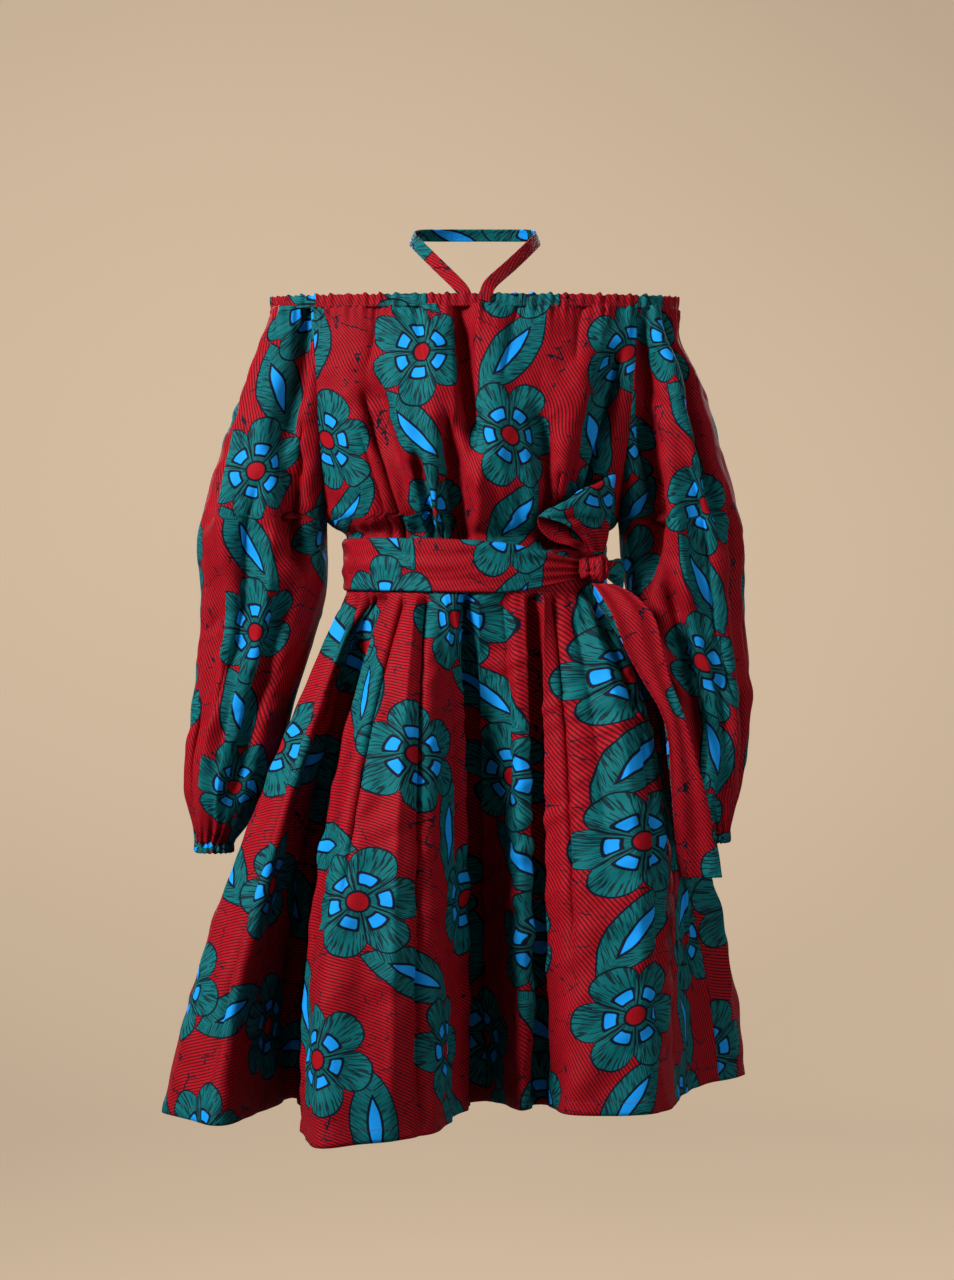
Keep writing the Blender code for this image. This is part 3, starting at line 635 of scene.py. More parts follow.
def crease_moves(folds, names, across, height, scale, half_scale):
    """Heights of the listed creases, and how far the cloth slides to them along its rows.

    Where creases are deeper the cloth slides further, up to SLIDE_MOST of a crease's half width.
    """
    sizes = bpy.context.scene.halter_dress_sizes
    rise = sizes.crease_scale * fold_relief(folds, names, across, height, scale, half_scale, crisp)
    slides = []
    for row in folds:
        fold = dict(zip(names, row))
        slides.append(row[:-1] + (-fold["half_wide"] * SLIDE_MOST * min(1.0, abs(fold["depth"]) / 5.0),))
    return rise, fold_relief(slides, names, across, height, scale, half_scale, gather_in)


def move_cloth(points, rise, slide):
    """Moves a surface's points square to it by rise, and along its rows by slide."""
    along = unit(np.gradient(points, axis=1))
    return points + outward(points) * rise[..., None] + along * slide[..., None]


def crumple(u, v, size, seed):
    """Irregular soft dents from -1 to 1: three slanted waves, each bent by a slower one, in products."""
    a = 2 * math.pi / size
    p = np.sin(a * (u + 0.35 * v) + 1.7 * np.sin(0.45 * a * (v - 0.4 * u) + seed))
    q = np.sin(1.27 * a * (0.6 * u - v) + 1.3 * np.sin(0.61 * a * u + 2.1 * seed))
    r = np.sin(0.73 * a * (0.2 * u + v) + 1.9 * np.sin(0.37 * a * (u + v) + 3.3 * seed))
    return (p * q + 0.6 * q * r + 0.5 * p * r) / 2.1


def scattered_creases(u, v, count, lean, seed):
    """Short crisp creases all over a piece, some up and some down, of uneven length, width and direction.

    Each has the crisp profile across, and fades along its length. Where they meet, SCATTER_MOST caps them.
    """
    total = np.zeros(u.shape)
    low_u, wide, low_v, tall = u.min(), np.ptp(u), v.min(), np.ptp(v)
    for i in range(count):
        at_u = low_u + wide * ((seed * 0.37 + i * SCATTER_STEPS[0]) % 1.0)
        at_v = low_v + tall * ((seed * 0.59 + i * SCATTER_STEPS[1]) % 1.0)
        turn = lean * math.sin(2.4 * i + seed) + 0.5 * math.sin(5.1 * i + 2 * seed)
        length = 28 * MM + 34 * MM * abs(math.sin(3.7 * i + seed))
        half = 3.2 * MM + 2.4 * MM * abs(math.sin(1.9 * i + seed))
        across = (u - at_u) * math.cos(turn) + (v - at_v) * math.sin(turn)
        along = (v - at_v) * math.cos(turn) - (u - at_u) * math.sin(turn)
        across = across - 0.18 * length * math.sin(4.3 * i) * (along / length) ** 2
        shape = crisp(across / half) * np.exp(-(along / length) ** 4)
        total += (1 if i % 3 else -1.3) * (0.5 + 0.5 * abs(math.cos(7.1 * i))) * shape
    return np.clip(total, -SCATTER_MOST, SCATTER_MOST)


def dents(points, middle, sizes, soft, sharp):
    """Soft dents (their scale, size and seed) and short creases (scale, count, lean, seed) over a surface."""
    along, down = run_along(points, 1, middle), run_along(points, 0)
    creases = sharp[0] * sizes.crease_depth * scattered_creases(along, down, *sharp[1:])
    return soft[0] * sizes.crumple_depth * crumple(along, down, *soft[1:]) + creases


def outward(points):
    """Unit directions square to a grid surface: the slope down the rows crossed with the slope along them."""
    return unit(np.cross(np.gradient(points, axis=0), np.gradient(points, axis=1)))


def run_along(points, axis, zero=0):
    """Distance over the cloth along one direction of a grid, counted from one of its lines."""
    step = np.linalg.norm(np.diff(points, axis=axis), axis=-1)
    start = np.zeros_like(np.take(step, [0], axis=axis))
    run = np.concatenate((start, np.cumsum(step, axis=axis)), axis=axis)
    return run - np.take(run, [zero], axis=axis)


def calm(values, reach=12):
    """Each row blended with the rows above and below it, with bell-shaped weights over reach rows."""
    weights = np.hanning(2 * reach + 3)[1:-1]
    weights = weights / weights.sum()
    first, last = np.repeat(values[:1], reach, axis=0), np.repeat(values[-1:], reach, axis=0)
    padded = np.concatenate((first, values, last))
    return np.stack([np.convolve(each, weights, mode="valid") for each in padded.T], axis=1)


def straight_cut(points, zero):
    """Print coordinates of a straight-cut piece: distance along each row, and distance down each column.

    Both are calmed, so that the threads of the cloth stay straight across small folds.
    """
    return np.stack([calm(run_along(points, 1, zero)), -calm(run_along(points, 0).T).T], axis=-1)


def ring_cut(points, turn):
    """Print coordinates of a flared piece cut as part of a ring.

    Each column is a ray of the ring, at an angle equal to the hem's length so far over the hem's radius.
    """
    down = calm(run_along(points, 0).T).T
    hem = run_along(points, 1, points.shape[1] // 2)[-1]
    radius = SKIRT_CUT_RADIUS + down
    ray = hem / (SKIRT_CUT_RADIUS + down[-1].mean()) + turn
    return np.stack([radius * np.sin(ray), -radius * np.cos(ray)], axis=-1)


def corners(grid):
    """The four corners of every cell of a grid, in the order of its faces."""
    return np.stack([grid[:-1, :-1], grid[1:, :-1], grid[1:, 1:], grid[:-1, 1:]], axis=2)


def close_grid(grid, rings):
    """A grid whose first row, first column or both come again at its end, where it closes on itself."""
    if rings[0]:
        grid = np.concatenate((grid, grid[:1]), axis=0)
    if rings[1]:
        grid = np.concatenate((grid, grid[:, :1]), axis=1)
    return grid


def point_numbers(points):
    """The numbers of a grid's points, as a grid."""
    return np.arange(points.shape[0] * points.shape[1]).reshape(points.shape[:2])


def mend(mesh, merge=0.0, turn_out=True):
    """Merges points of a mesh that are nearer than a distance, and turns its faces outwards."""
    body = bmesh.new()
    body.from_mesh(mesh)
    if merge:
        bmesh.ops.remove_doubles(body, verts=body.verts, dist=merge)
    if turn_out:
        bmesh.ops.recalc_face_normals(body, faces=body.faces)
    body.to_mesh(mesh)
    body.free()


def add_cloth(node, points, uv, move, turn=0.0, thick=None, ids=None, rings=(False, False)):
    """One piece of cloth from a grid of points, with its print coordinates, in place of a CAD node.

    move and turn lay the print on it. ids joins grid points into shared vertices, and rings says which
    directions close on themselves.
    """
    name = node + "_cloth"
    material = cloth_material(node + "_print", move, turn)
    ids = close_grid(point_numbers(points) if ids is None else ids, rings)
    used, faces = np.unique(corners(ids).reshape(-1, 4), return_inverse=True)
    places = points.reshape(-1, 3)[used] + DRESS_AT
    mesh = bpy.data.meshes.new(name)
    mesh.from_pydata(places.tolist(), [], faces.reshape(-1, 4).tolist())
    layer = mesh.uv_layers.new(name=UV_NAME)
    layer.data.foreach_set("uv", corners(uv).reshape(-1).astype(np.float32))
    if any(rings):
        mend(mesh, 0.01 * MM)
    return finish_piece(name, mesh, material, node, thick)


def finish_piece(name, mesh, material, node=None, thick=None):
    """Links a mesh as a piece of the dress, gives it its cloth and hides the CAD node it stands for."""
    mesh.shade_smooth()
    mesh.materials.append(material)
    piece = bpy.data.objects.new(name, mesh)
    bpy.context.scene.collection.objects.link(piece)
    if thick:
        shell = piece.modifiers.new("cloth", "SOLIDIFY")
        shell.thickness = thick
        shell.offset = -1
    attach(piece, "root")
    if node:
        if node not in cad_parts:
            raise RuntimeError(f"the frame has no {node} for {name} to replace")
        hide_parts(node)
    return piece


def bodice_value(name, height):
    """A column of the bodice table, read at any height."""
    keys = column(BODICE_MM, BODICE_NAMES, "height", MM)
    return flow(keys, column(BODICE_MM, BODICE_NAMES, name, MM), height)


def sleeve_section(height, side):
    """Centre, half width, half depth, middle and turn of a sleeve's oval at a height.

    The turn is half a circle on the closed tube. Above the underarm it ends at the raglan seam.
    """
    table = SLEEVE_LEFT_MM if side > 0 else SLEEVE_RIGHT_MM
    keys = column(table, SLEEVE_NAMES, "height", MM)
    outer, across, depth, middle = [
        flow(keys, column(table, SLEEVE_NAMES, name, MM), height) for name in SLEEVE_NAMES[1:]
    ]
    half = across / 2
    centre = outer - half
    seam = np.abs(bodice_value("right" if side > 0 else "left", height))
    turn = np.arccos(np.clip((seam - centre) / half, -1, 1))
    turn = np.where(height <= UNDERARM + 1e-9, math.pi, turn)
    return centre, half, depth, middle, turn


def wrist_height(side):
    """The height of a sleeve's lower edge."""
    return (SLEEVE_LEFT_MM if side > 0 else SLEEVE_RIGHT_MM)[-1][0] * MM


def seam_depth(height, side):
    """How far the raglan seam lies in front of the side line. Under the arm it is nothing."""
    centre, half, depth, middle, turn = sleeve_section(height, side)
    return depth * np.sin(turn)


def neckline_dip(height, depth):
    """The neckline is a little lower in front than behind, and this fades out lower down."""
    return FRONT_DIP * depth * ease((height - DIP_FADES_AT) / (CASING_MIDDLE - DIP_FADES_AT))


def casing_calm(height):
    """The large folds are shallow where the casing holds the cloth, and full a little way below."""
    return HELD_SHARE + (1 - HELD_SHARE) * ease((CASING_MIDDLE - height) / FOLD_SETTLES)


def valleys_end(height):
    """Valleys, and the slides towards them, run in under the belt's upper edge and end there."""
    return ease((height - VALLEYS_END) / VALLEYS_FADE)


def belt_calm(relief, height):
    """Ridges die away above the belt, and valleys run in under it."""
    return np.where(relief > 0, ease((height - WAIST_CLEAR) / RIDGES_FADE), valleys_end(height))


def bodice_surface(share, height, face):
    """A bodice panel from its left (-1) to its right (+1) seam; face is -1 in front and +1 behind.

    At each height it is an arc of an oval through both seams, with the panel's large folds added. Its edges
    run on a little under the sleeves, as seam allowances do.
    """
    reach = bodice_value("front" if face < 0 else "back", height)
    depth = np.where(share < 0, seam_depth(height, -1), seam_depth(height, 1))
    seam = np.where(share < 0, np.abs(bodice_value("left", height)), bodice_value("right", height))
    widest = np.arccos(np.clip(depth / reach, 0, 1))
    oval = seam / np.sin(widest)
    angle = share * (widest + SEAM_UNDER / reach)
    x = oval * np.sin(angle)
    y = face * reach * np.cos(angle)
    folds = FRONT_FOLDS_MM if face < 0 else BACK_FOLDS_MM
    relief = fold_relief(folds, FOLD_NAMES, x, height, MM, MM)
    relief = relief * from_edges(share, 0.2) * belt_calm(relief, height) * casing_calm(height)
    x = x + relief * np.sin(angle)
    y = y + face * relief * np.cos(angle)
    return np.stack([x, y, height + neckline_dip(height, y)], axis=-1)


def sleeve_surface(share, height, side):
    """A sleeve from its front (-1) round the outside to its back (+1) edge, as an oval at each height."""
    centre, half, depth, middle, turn = sleeve_section(height, side)
    above = turn < math.pi - 1e-6
    angle = share * (turn + np.where(above, SEAM_UNDER / half, 0.0))
    folds = SLEEVE_LEFT_FOLDS if side > 0 else SLEEVE_RIGHT_FOLDS
    degrees = np.degrees(angle)
    relief = SLEEVE_FOLD_SCALE * fold_relief(folds, SLEEVE_FOLD_NAMES, degrees, height, 1.0, 1 / TURN_TO_MM)
    edge = np.where(above, from_edges(share, 0.18), 1.0)
    relief = relief * edge * casing_calm(height) * np.clip(half / (50 * MM), 0.35, 1)
    x = centre + (half + relief) * np.cos(angle)
    y = middle + (depth + relief) * np.sin(angle)
    return np.stack([side * x, y, height + neckline_dip(height, y)], axis=-1)


def waist_ring(angle, out=0.0):
    """The waist as an oval, by angle in radians from the front, moved out by a distance."""
    x = bodice_value("right", 0.0) * np.sin(angle)
    reach = np.where(np.cos(angle) > 0, bodice_value("front", 0.0), bodice_value("back", 0.0))
    y = -reach * np.cos(angle)
    slope = unit(np.stack([x / bodice_value("right", 0.0) ** 2, y / reach ** 2], axis=-1))
    return x + out * slope[..., 0], y + out * slope[..., 1], slope


def skirt_surface(degrees, fall):
    """The skirt: fall 0 is the belt's lower edge, 1 the hem.

    Each line of the cloth runs from the waist oval to its own place on the folded hem, and it
    leaves the waist the faster the larger its swell: share out = 1 - (1 - fall) ** swell.
    """
    angles = column(SKIRT, SKIRT_NAMES, "angle")
    hem_x, hem_y, hem_z = [
        flow_round(angles, column(SKIRT, SKIRT_NAMES, name, MM), degrees) for name in SKIRT_NAMES[1:4]
    ]
    swell = flow_round(angles, column(SKIRT, SKIRT_NAMES, "swell"), degrees)
    waist_x, waist_y, slope = waist_ring(np.radians(degrees))
    out = 1 - (1 - np.clip(fall, 0, 1)) ** swell
    z = SKIRT_START + (hem_z - SKIRT_START) * fall
    z = np.where(fall < 0, -SEAM_GAP / 2 + (SKIRT_START + SEAM_GAP / 2) * (1 + fall), z)
    return np.stack([waist_x + (hem_x - waist_x) * out, waist_y + (hem_y - waist_y) * out, z], axis=-1)


def bodice_front_depth(x, z):
    """How far forward the bodice stands at a place seen from the front."""
    reach = bodice_value("front", z)
    widest = np.arccos(np.clip(seam_depth(z, 1) / reach, 0, 1))
    oval = bodice_value("right", z) / np.sin(widest)
    return -reach * np.sqrt(np.clip(1 - (x / oval) ** 2, 0.02, 1))


def skirt_front_depth(x, z):
    """How far forward the skirt stands there: the nearest of its points about the same place."""
    degrees = np.linspace(-80, 110, 380)
    fall = (z - SKIRT_START) / (SKIRT_LOWEST - SKIRT_START)
    cloth = skirt_surface(degrees[None, :], np.clip(fall, 0, 1)[:, None])
    apart = (cloth[..., 0] - x[:, None]) / ENVELOPE_REACH
    return np.min(cloth[..., 1] + apart ** 2 * ENVELOPE_REACH, axis=1)


def neck_line(samples=240):
    """The neckline's four stretches at the casing's height, each in the order it is met going round."""
    fine = np.linspace(-1, 1, samples)
    height = np.full_like(fine, CASING_MIDDLE)
    return {
        "front": bodice_surface(fine, height, -1),
        "left": sleeve_surface(fine, height, 1),
        "back": bodice_surface(fine[::-1], height, 1),
        "right": sleeve_surface(fine[::-1], height, -1),
    }


def neck_share(stretch, share):
    """How far round the neckline a place on one stretch lies, from 0 to 1."""
    runs = {key: run_along(line, 0) for key, line in neck_line().items()}
    keys = list(runs)
    before = sum(runs[key][-1] for key in keys[:keys.index(stretch)])
    whole = sum(run[-1] for run in runs.values())
    run = runs[stretch][::-1] if stretch in ("back", "right") else runs[stretch]
    return (before + np.interp(share, np.linspace(-1, 1, len(run)), run)) / whole


def neck_wave(at):
    """The gathers of the neck elastic, from -1 to 1: a slow wave, one twice as quick, and uneven heights."""
    phase = 2 * math.pi * CASING_WAVES * at
    uneven = 0.72 + 0.28 * np.sin(0.31 * phase + 1.3 * np.sin(0.113 * phase))
    return uneven * (0.5 * np.cos(phase) + 0.55 * np.cos(2 * phase + 1.1 * np.sin(0.27 * phase)))


def neck_puckers(stretch, share, height, sizes):
    """Short puckers under the casing: the casing's own waves, dying away over uneven lengths."""
    at = neck_share(stretch, share)
    phase = 2 * math.pi * CASING_WAVES * at
    reach = sizes.pucker_length * (0.55 + 0.4 * np.sin(0.43 * phase) * np.sin(0.171 * phase + 0.8))
    drop = np.maximum(CLOTH_TOP - TUCK - height, 0)
    waves = sizes.pucker_depth * neck_wave(at) * np.exp(-drop / np.maximum(reach, 4 * MM))
    return waves * ease((CLOTH_TOP - height) / TUCK)


def waist_gathers(turn, away, pitch, sizes):
    """Small folds that start at the belt: waves round the waist, dying away over uneven lengths."""
    phase = turn / pitch
    wave = np.cos(phase + 0.9 * np.sin(0.37 * phase))
    reach = sizes.gather_length * (0.6 + 0.4 * np.sin(0.53 * phase + 1.0) * np.sin(0.29 * phase))
    return sizes.gather_depth * wave * np.exp(-away / reach)


def even_steps(loop, count):
    """Points at even steps along a closed line."""
    closed = np.concatenate((loop, loop[:1]))
    run = run_along(closed, 0)
    return read_at(np.linspace(0, run[-1], count, endpoint=False), run, closed)


def smooth_ring(loop, reach):
    """A closed line with each point moved to the mean of its neighbours, which rounds its corners."""
    kernel = np.ones(2 * reach + 1) / (2 * reach + 1)
    padded = np.concatenate((loop[-reach:], loop, loop[:reach]))
    return np.stack([np.convolve(padded[:, i], kernel, mode="valid") for i in range(3)], axis=-1)


def ring_outward(ring):
    """Level outward directions of a closed line that runs left over the front to the right."""
    along = np.roll(ring, -1, axis=0) - np.roll(ring, 1, axis=0)
    return unit(np.stack([along[:, 1], -along[:, 0], np.zeros(len(ring))], axis=-1))


# Shader nodes

class Pattern:
    """Adds shader nodes to a tree, so that a pattern can be written as sums and products."""

    def __init__(self, tree):
        self.tree = tree

    def node(self, kind, inputs, **settings):
        """One node with its settings, fed by numbers or by other nodes' outputs."""
        made = self.tree.nodes.new(kind)
        for key, value in settings.items():
            setattr(made, key, value)
        for place, value in inputs.items():
            if isinstance(value, bpy.types.NodeSocket):
                self.tree.links.new(value, made.inputs[place])
            else:
                made.inputs[place].default_value = value
        return made

    def math(self, operation, a, b=0.0, c=0.0):
        """A Math node's result."""
        return self.node("ShaderNodeMath", {0: a, 1: b, 2: c}, operation=operation).outputs[0]

    def add(self, a, b):
        """a + b"""
        return self.math("ADD", a, b)

    def sub(self, a, b):
        """a - b"""
        return self.math("SUBTRACT", a, b)

    def mul(self, a, b):
        """a * b"""
        return self.math("MULTIPLY", a, b)

    def join(self, x, y, z=0.0):
        """A vector from its three parts."""
        return self.node("ShaderNodeCombineXYZ", {0: x, 1: y, 2: z}).outputs[0]

    def split(self, vector):
        """The three parts of a vector."""
        return self.node("ShaderNodeSeparateXYZ", {0: vector}).outputs

    def noise(self, vector, scale, detail=2.0):
        """Cloudy noise from 0 to 1."""
        inputs = {"Vector": vector, "Scale": scale, "Detail": detail}
        return self.node("ShaderNodeTexNoise", inputs).outputs["Fac"]

    def below(self, value, limit, soft):
        """1 where value is under the limit, 0 above, with a soft edge."""
        inputs = {"Value": value, "From Min": limit + soft, "From Max": limit - soft}
        return self.node("ShaderNodeMapRange", inputs, interpolation_type="SMOOTHSTEP").outputs[0]

    def mix(self, share, a, b):
        """Colour a where share is 0, b where it is 1."""
        made = self.node("ShaderNodeMix", {0: share, 6: a, 7: b}, data_type="RGBA")
        return made.outputs[2]


def print_group(looks):
    """The printed cloth: round flowers and leaves, stepped half a repeat, over fine pin lines.

    The input is the place on the cloth in metres, the output the printed colour.
    """
    tree = bpy.data.node_groups.new(PRINT_NAME, "ShaderNodeTree")
    tree.interface.new_socket("Cloth", in_out="INPUT", socket_type="NodeSocketVector")
    tree.interface.new_socket("Colour", in_out="OUTPUT", socket_type="NodeSocketColor")
    tree.interface.new_socket("Lines", in_out="OUTPUT", socket_type="NodeSocketFloat")
    p = Pattern(tree)
    start = tree.nodes.new("NodeGroupInput").outputs[0]
    place = p.node("ShaderNodeVectorMath", {0: start, 3: 1 / MM}, operation="SCALE").outputs[0]
    u, v, rest = p.split(place)
    colour, lines = ground_colour(p, looks, u, v)
    u = p.add(u, p.mul(p.sub(p.noise(place, 0.03, 2.0), 0.5), 4.0))
    v = p.add(v, p.mul(p.sub(p.noise(p.join(v, u, 40.0), 0.03, 2.0), 0.5), 4.0))
    repeat = (looks.repeat_wide / MM, looks.repeat_tall / MM)
    colour = leaf_layer(p, looks, colour, u, v, repeat)
    colour = flower_layer(p, looks, colour, u, v, repeat)
    end = tree.nodes.new("NodeGroupOutput")
    tree.links.new(colour, end.inputs[0])
    tree.links.new(lines, end.inputs[1])
    return tree


def ground_colour(p, colours, u, v):
    """Crimson with uneven dark pin lines and short black crackle marks, all in mm.

    A pin line lies where the sine across the lines, made uneven by noise, is low.
    """
    pitch = 3.1
    bend = p.noise(p.join(u, v), 0.012, 1.0)
    slant = p.add(p.add(p.mul(u, 0.88), p.mul(v, 0.48)), p.mul(bend, 6.0))
    pin = p.math("SINE", p.mul(slant, 2 * math.pi / pitch))
    pin = p.add(pin, p.mul(p.sub(p.noise(p.join(u, p.mul(v, 0.2)), 0.7, 1.0), 0.5), 1.5))
    line = p.below(pin, -0.22, 0.35)
    tone = p.noise(p.join(u, v, 9.0), 0.045, 3.0)
    red = p.mix(tone, tuple(colours.ground), tuple(colours.ground_light))
    colour = p.mix(p.mul(line, 0.86), red, tuple(colours.pin_line))
    shift = p.noise(p.join(u, v, 3.0), 0.12, 2.0)
    crack = p.node("ShaderNodeTexVoronoi", {
        "Vector": p.join(p.add(u, p.mul(shift, 16.0)), p.add(v, p.mul(shift, -11.0))),
        "Scale": 0.030,
    }, feature="DISTANCE_TO_EDGE").outputs["Distance"]
    short = p.below(p.noise(p.join(u, v, 21.0), 0.048, 1.0), 0.47, 0.02)
    mark = p.mul(p.below(crack, 0.0145, 0.004), short)
    return p.mix(mark, colour, tuple(colours.outline)), line


def repeat_cell(p, u, v, repeat, drop):
    """Place within a half-drop repeat: every second column is moved down by half a repeat."""
    wide, tall = repeat
    across = p.math("DIVIDE", u, wide)
    col = p.math("FLOOR", across)
    odd = p.math("FLOORED_MODULO", col, 2.0)
    down = p.add(p.add(p.math("DIVIDE", v, tall), p.mul(odd, 0.5)), drop)
    x = p.mul(p.sub(p.sub(across, col), 0.5), wide)
    y = p.mul(p.sub(p.math("FRACT", p.add(down, 100.0)), 0.5), tall)
    return x, y, odd


def teal_with_veins(p, colours, streak):
    """Teal with dark strokes where the streak noise is low."""
    vein = p.below(streak, 0.465, 0.035)
    return p.mix(p.mul(vein, 0.92), tuple(colours.motif), tuple(colours.vein))


def outlined(p, colours, under, fill, gap, half_line, soft=0.4, line_soft=0.4):
    """Lays a fill where the gap is below 0, with a dark line of a half width along its edge."""
    whole = p.mix(p.below(gap, 0.0, soft), under, fill)
    line = p.below(p.math("ABSOLUTE", gap), half_line, line_soft)
    return p.mix(line, whole, tuple(colours.outline))


def paint(p, colours, under, fill, gap, core_gap):
    """Lays a motif over the colour under it: its fill, its core and the dark lines round both."""
    core = outlined(p, colours, fill, tuple(colours.core), core_gap, 1.3, soft=0.35)
    return outlined(p, colours, under, core, gap, 0.975, 0.35, 0.35)


def pointed(p, along, away, half_long, half_wide):
    """Distance out of a pointed oval: how far aside, less half_wide * (1 - (along / half_long) squared)."""
    share = p.math("DIVIDE", along, half_long)
    return p.sub(away, p.mul(p.sub(1.0, p.mul(share, share)), half_wide))


def leaf_layer(p, colours, under, u, v, repeat):
    """Single pointed leaves between the flowers, leaning left and right in turn, with a bright midrib."""
    x, y, odd = repeat_cell(p, u, v, repeat, 0.5)
    lean = p.add(p.mul(p.sub(odd, 0.5), 1.25), 1.57)
    cos = p.math("COSINE", lean)
    sin = p.math("SINE", lean)
    along = p.add(p.mul(x, cos), p.mul(y, sin))
    away = p.math("ABSOLUTE", p.sub(p.mul(y, cos), p.mul(x, sin)))
    gap = pointed(p, along, away, 58.0, 25.0)
    core_gap = pointed(p, along, away, 31.0, 7.0)
    slant = p.sub(along, p.mul(away, 0.8))
    streak = p.noise(p.join(p.mul(slant, 0.85), p.mul(away, 0.07), 5.0), 1.0, 1.0)
    return paint(p, colours, under, teal_with_veins(p, colours, streak), gap, core_gap)


def flower_layer(p, colours, under, u, v, repeat):
    """Round flowers of six scalloped petals, each with a bright bar near the eye and radiating strokes."""
    petals, petal_long, notch, eye_radius = 6, 57.0, 17.0, 10.0
    bar_at, bar_half, bar_end_at, veins = 23.0, 6.2, 0.64, 27.0
    x, y, odd = repeat_cell(p, u, v, repeat, 0.0)
    radius = p.math("SQRT", p.add(p.mul(x, x), p.mul(y, y)))
    turn = p.add(p.math("ARCTAN2", y, x), p.mul(odd, math.pi / petals))
    part = p.math("FRACT", p.add(p.mul(turn, petals / (2 * math.pi)), 10.5))
    off = p.mul(p.math("ABSOLUTE", p.sub(part, 0.5)), 2.0)
    gap = p.sub(radius, p.sub(petal_long, p.mul(p.math("POWER", off, 2.6), notch)))
    split = p.mul(p.mul(radius, p.sub(1.0, off)), math.pi / petals)
    bar = p.sub(p.math("ABSOLUTE", p.sub(radius, bar_at)), bar_half)
    bar_end = p.mul(p.sub(off, bar_end_at), 15.0)
    core_gap = p.math("SMOOTH_MAX", bar, bar_end, 4.0)
    cos, sin = p.math("COSINE", turn), p.math("SINE", turn)
    ring = p.join(p.mul(cos, veins), p.mul(sin, veins), p.mul(radius, 0.06))
    fill = teal_with_veins(p, colours, p.noise(ring, 1.0, 1.0))
    fill = p.mix(p.below(split, 0.9, 0.4), fill, tuple(colours.outline))
    fill = outlined(p, colours, fill, tuple(colours.ground), p.sub(radius, eye_radius), 1.2)
    return paint(p, colours, under, fill, gap, core_gap)


def new_material(name):
    """A material, its shader and a Pattern that adds nodes to it."""
    material = bpy.data.materials.new(name)
    material.use_nodes = True
    return material, material.node_tree.nodes["Principled BSDF"], Pattern(material.node_tree)


def cloth_material(name, move, turn=0.0):
    """Printed cotton for one piece: the print moved and turned on it, a plain weave and a slight sheen."""
    group = bpy.data.node_groups.get(PRINT_NAME) or print_group(bpy.context.scene.halter_dress_print)
    material, shader, p = new_material(name)
    tree = p.tree
    cloth = p.node("ShaderNodeUVMap", {}, uv_map=UV_NAME).outputs[0]
    place = {"Vector": cloth, "Location": (*move, 0.0), "Rotation": (0.0, 0.0, turn)}
    laid = p.node("ShaderNodeMapping", place)
    printed = p.node("ShaderNodeGroup", {}, node_tree=group)
    tree.links.new(laid.outputs[0], printed.inputs[0])
    tree.links.new(printed.outputs[0], shader.inputs["Base Color"])
    warp, weft = [p.math("SINE", p.mul(way, 2 * math.pi / THREAD_PITCH)) for way in p.split(cloth)[:2]]
    height = p.add(p.mul(p.mul(warp, weft), 0.05 * MM), p.mul(p.noise(cloth, 70.0, 4.0), 0.6 * MM))
    bump = p.node("ShaderNodeBump", {"Height": height, "Strength": 0.7, "Distance": 1.0})
    tree.links.new(bump.outputs[0], shader.inputs["Normal"])
    dull = p.node("ShaderNodeMapRange", {"Value": printed.outputs[1], "To Min": 0.62, "To Max": 0.72})
    tree.links.new(dull.outputs[0], shader.inputs["Roughness"])
    shader.inputs["Specular IOR Level"].default_value = 0.10
    shader.inputs["Sheen Weight"].default_value = 0.01
    shader.inputs["Sheen Roughness"].default_value = 0.45
    return material


def plain_material(name, colour, rough):
    """Thread or a plain surface: a colour that varies a little with place."""
    material, shader, p = new_material(name)
    tone = p.noise(p.node("ShaderNodeTexCoord", {}).outputs["Object"], 3.0, 3.0)
    dark = tuple(c * 0.93 for c in colour[:3]) + (1.0,)
    p.tree.links.new(p.mix(tone, dark, tuple(colour)), shader.inputs["Base Color"])
    shader.inputs["Roughness"].default_value = rough
    return material


# Stitches

def add_stitches(name, lines, thread):
    """Rows of short stitches as one mesh. A line is (points, outward directions) along the cloth.

    A stitch is a thread of eight-sided diamond form: two rings of four points between two tips.
    """
    sizes = bpy.context.scene.halter_dress_sizes
    half = sizes.stitch_length / 2
    thick = sizes.thread_thick / 2
    ring = ((0, thick), (thick, 0), (0, -thick), (-thick, 0))
    rings = [(end * half * 0.6, a, b) for end in (-1, 1) for a, b in ring]
    local = np.array([(-half, 0, 0), *rings, (half, 0, 0)])
    k = np.arange(4)
    n = (k + 1) % 4
    caps = np.concatenate((np.stack([0 * k, 1 + n, 1 + k], 1), np.stack([0 * k + 9, 5 + k, 5 + n], 1)))
    sides = np.stack([1 + k, 1 + n, 5 + n, 5 + k], 1)
    places, tris, quads = [], [], []
    count = 0
    for points, out in lines:
        run = run_along(points, 0)
        at = np.arange(sizes.stitch_pitch, run[-1], sizes.stitch_pitch)
        spot = read_at(at, run, points)
        up = unit(read_at(at, run, out))
        along = unit(read_at(at, run, np.gradient(points, axis=0)))
        side = np.cross(up, along)
        verts = (spot[:, None] + up[:, None] * thick * 0.5 + local[None, :, :1] * along[:, None]
                 + local[None, :, 1:2] * side[:, None] + local[None, :, 2:] * up[:, None])
        base = count + 10 * np.arange(len(at))[:, None, None]
        places.append(verts.reshape(-1, 3))
        tris.append((base + caps[None]).reshape(-1, 3))
        quads.append((base + sides[None]).reshape(-1, 4))
        count += 10 * len(at)
    mesh = bpy.data.meshes.new(name)
    faces = np.concatenate(tris).tolist() + np.concatenate(quads).tolist()
    mesh.from_pydata((np.concatenate(places) + DRESS_AT).tolist(), [], faces)
    mend(mesh)
    return finish_piece(name, mesh, thread)


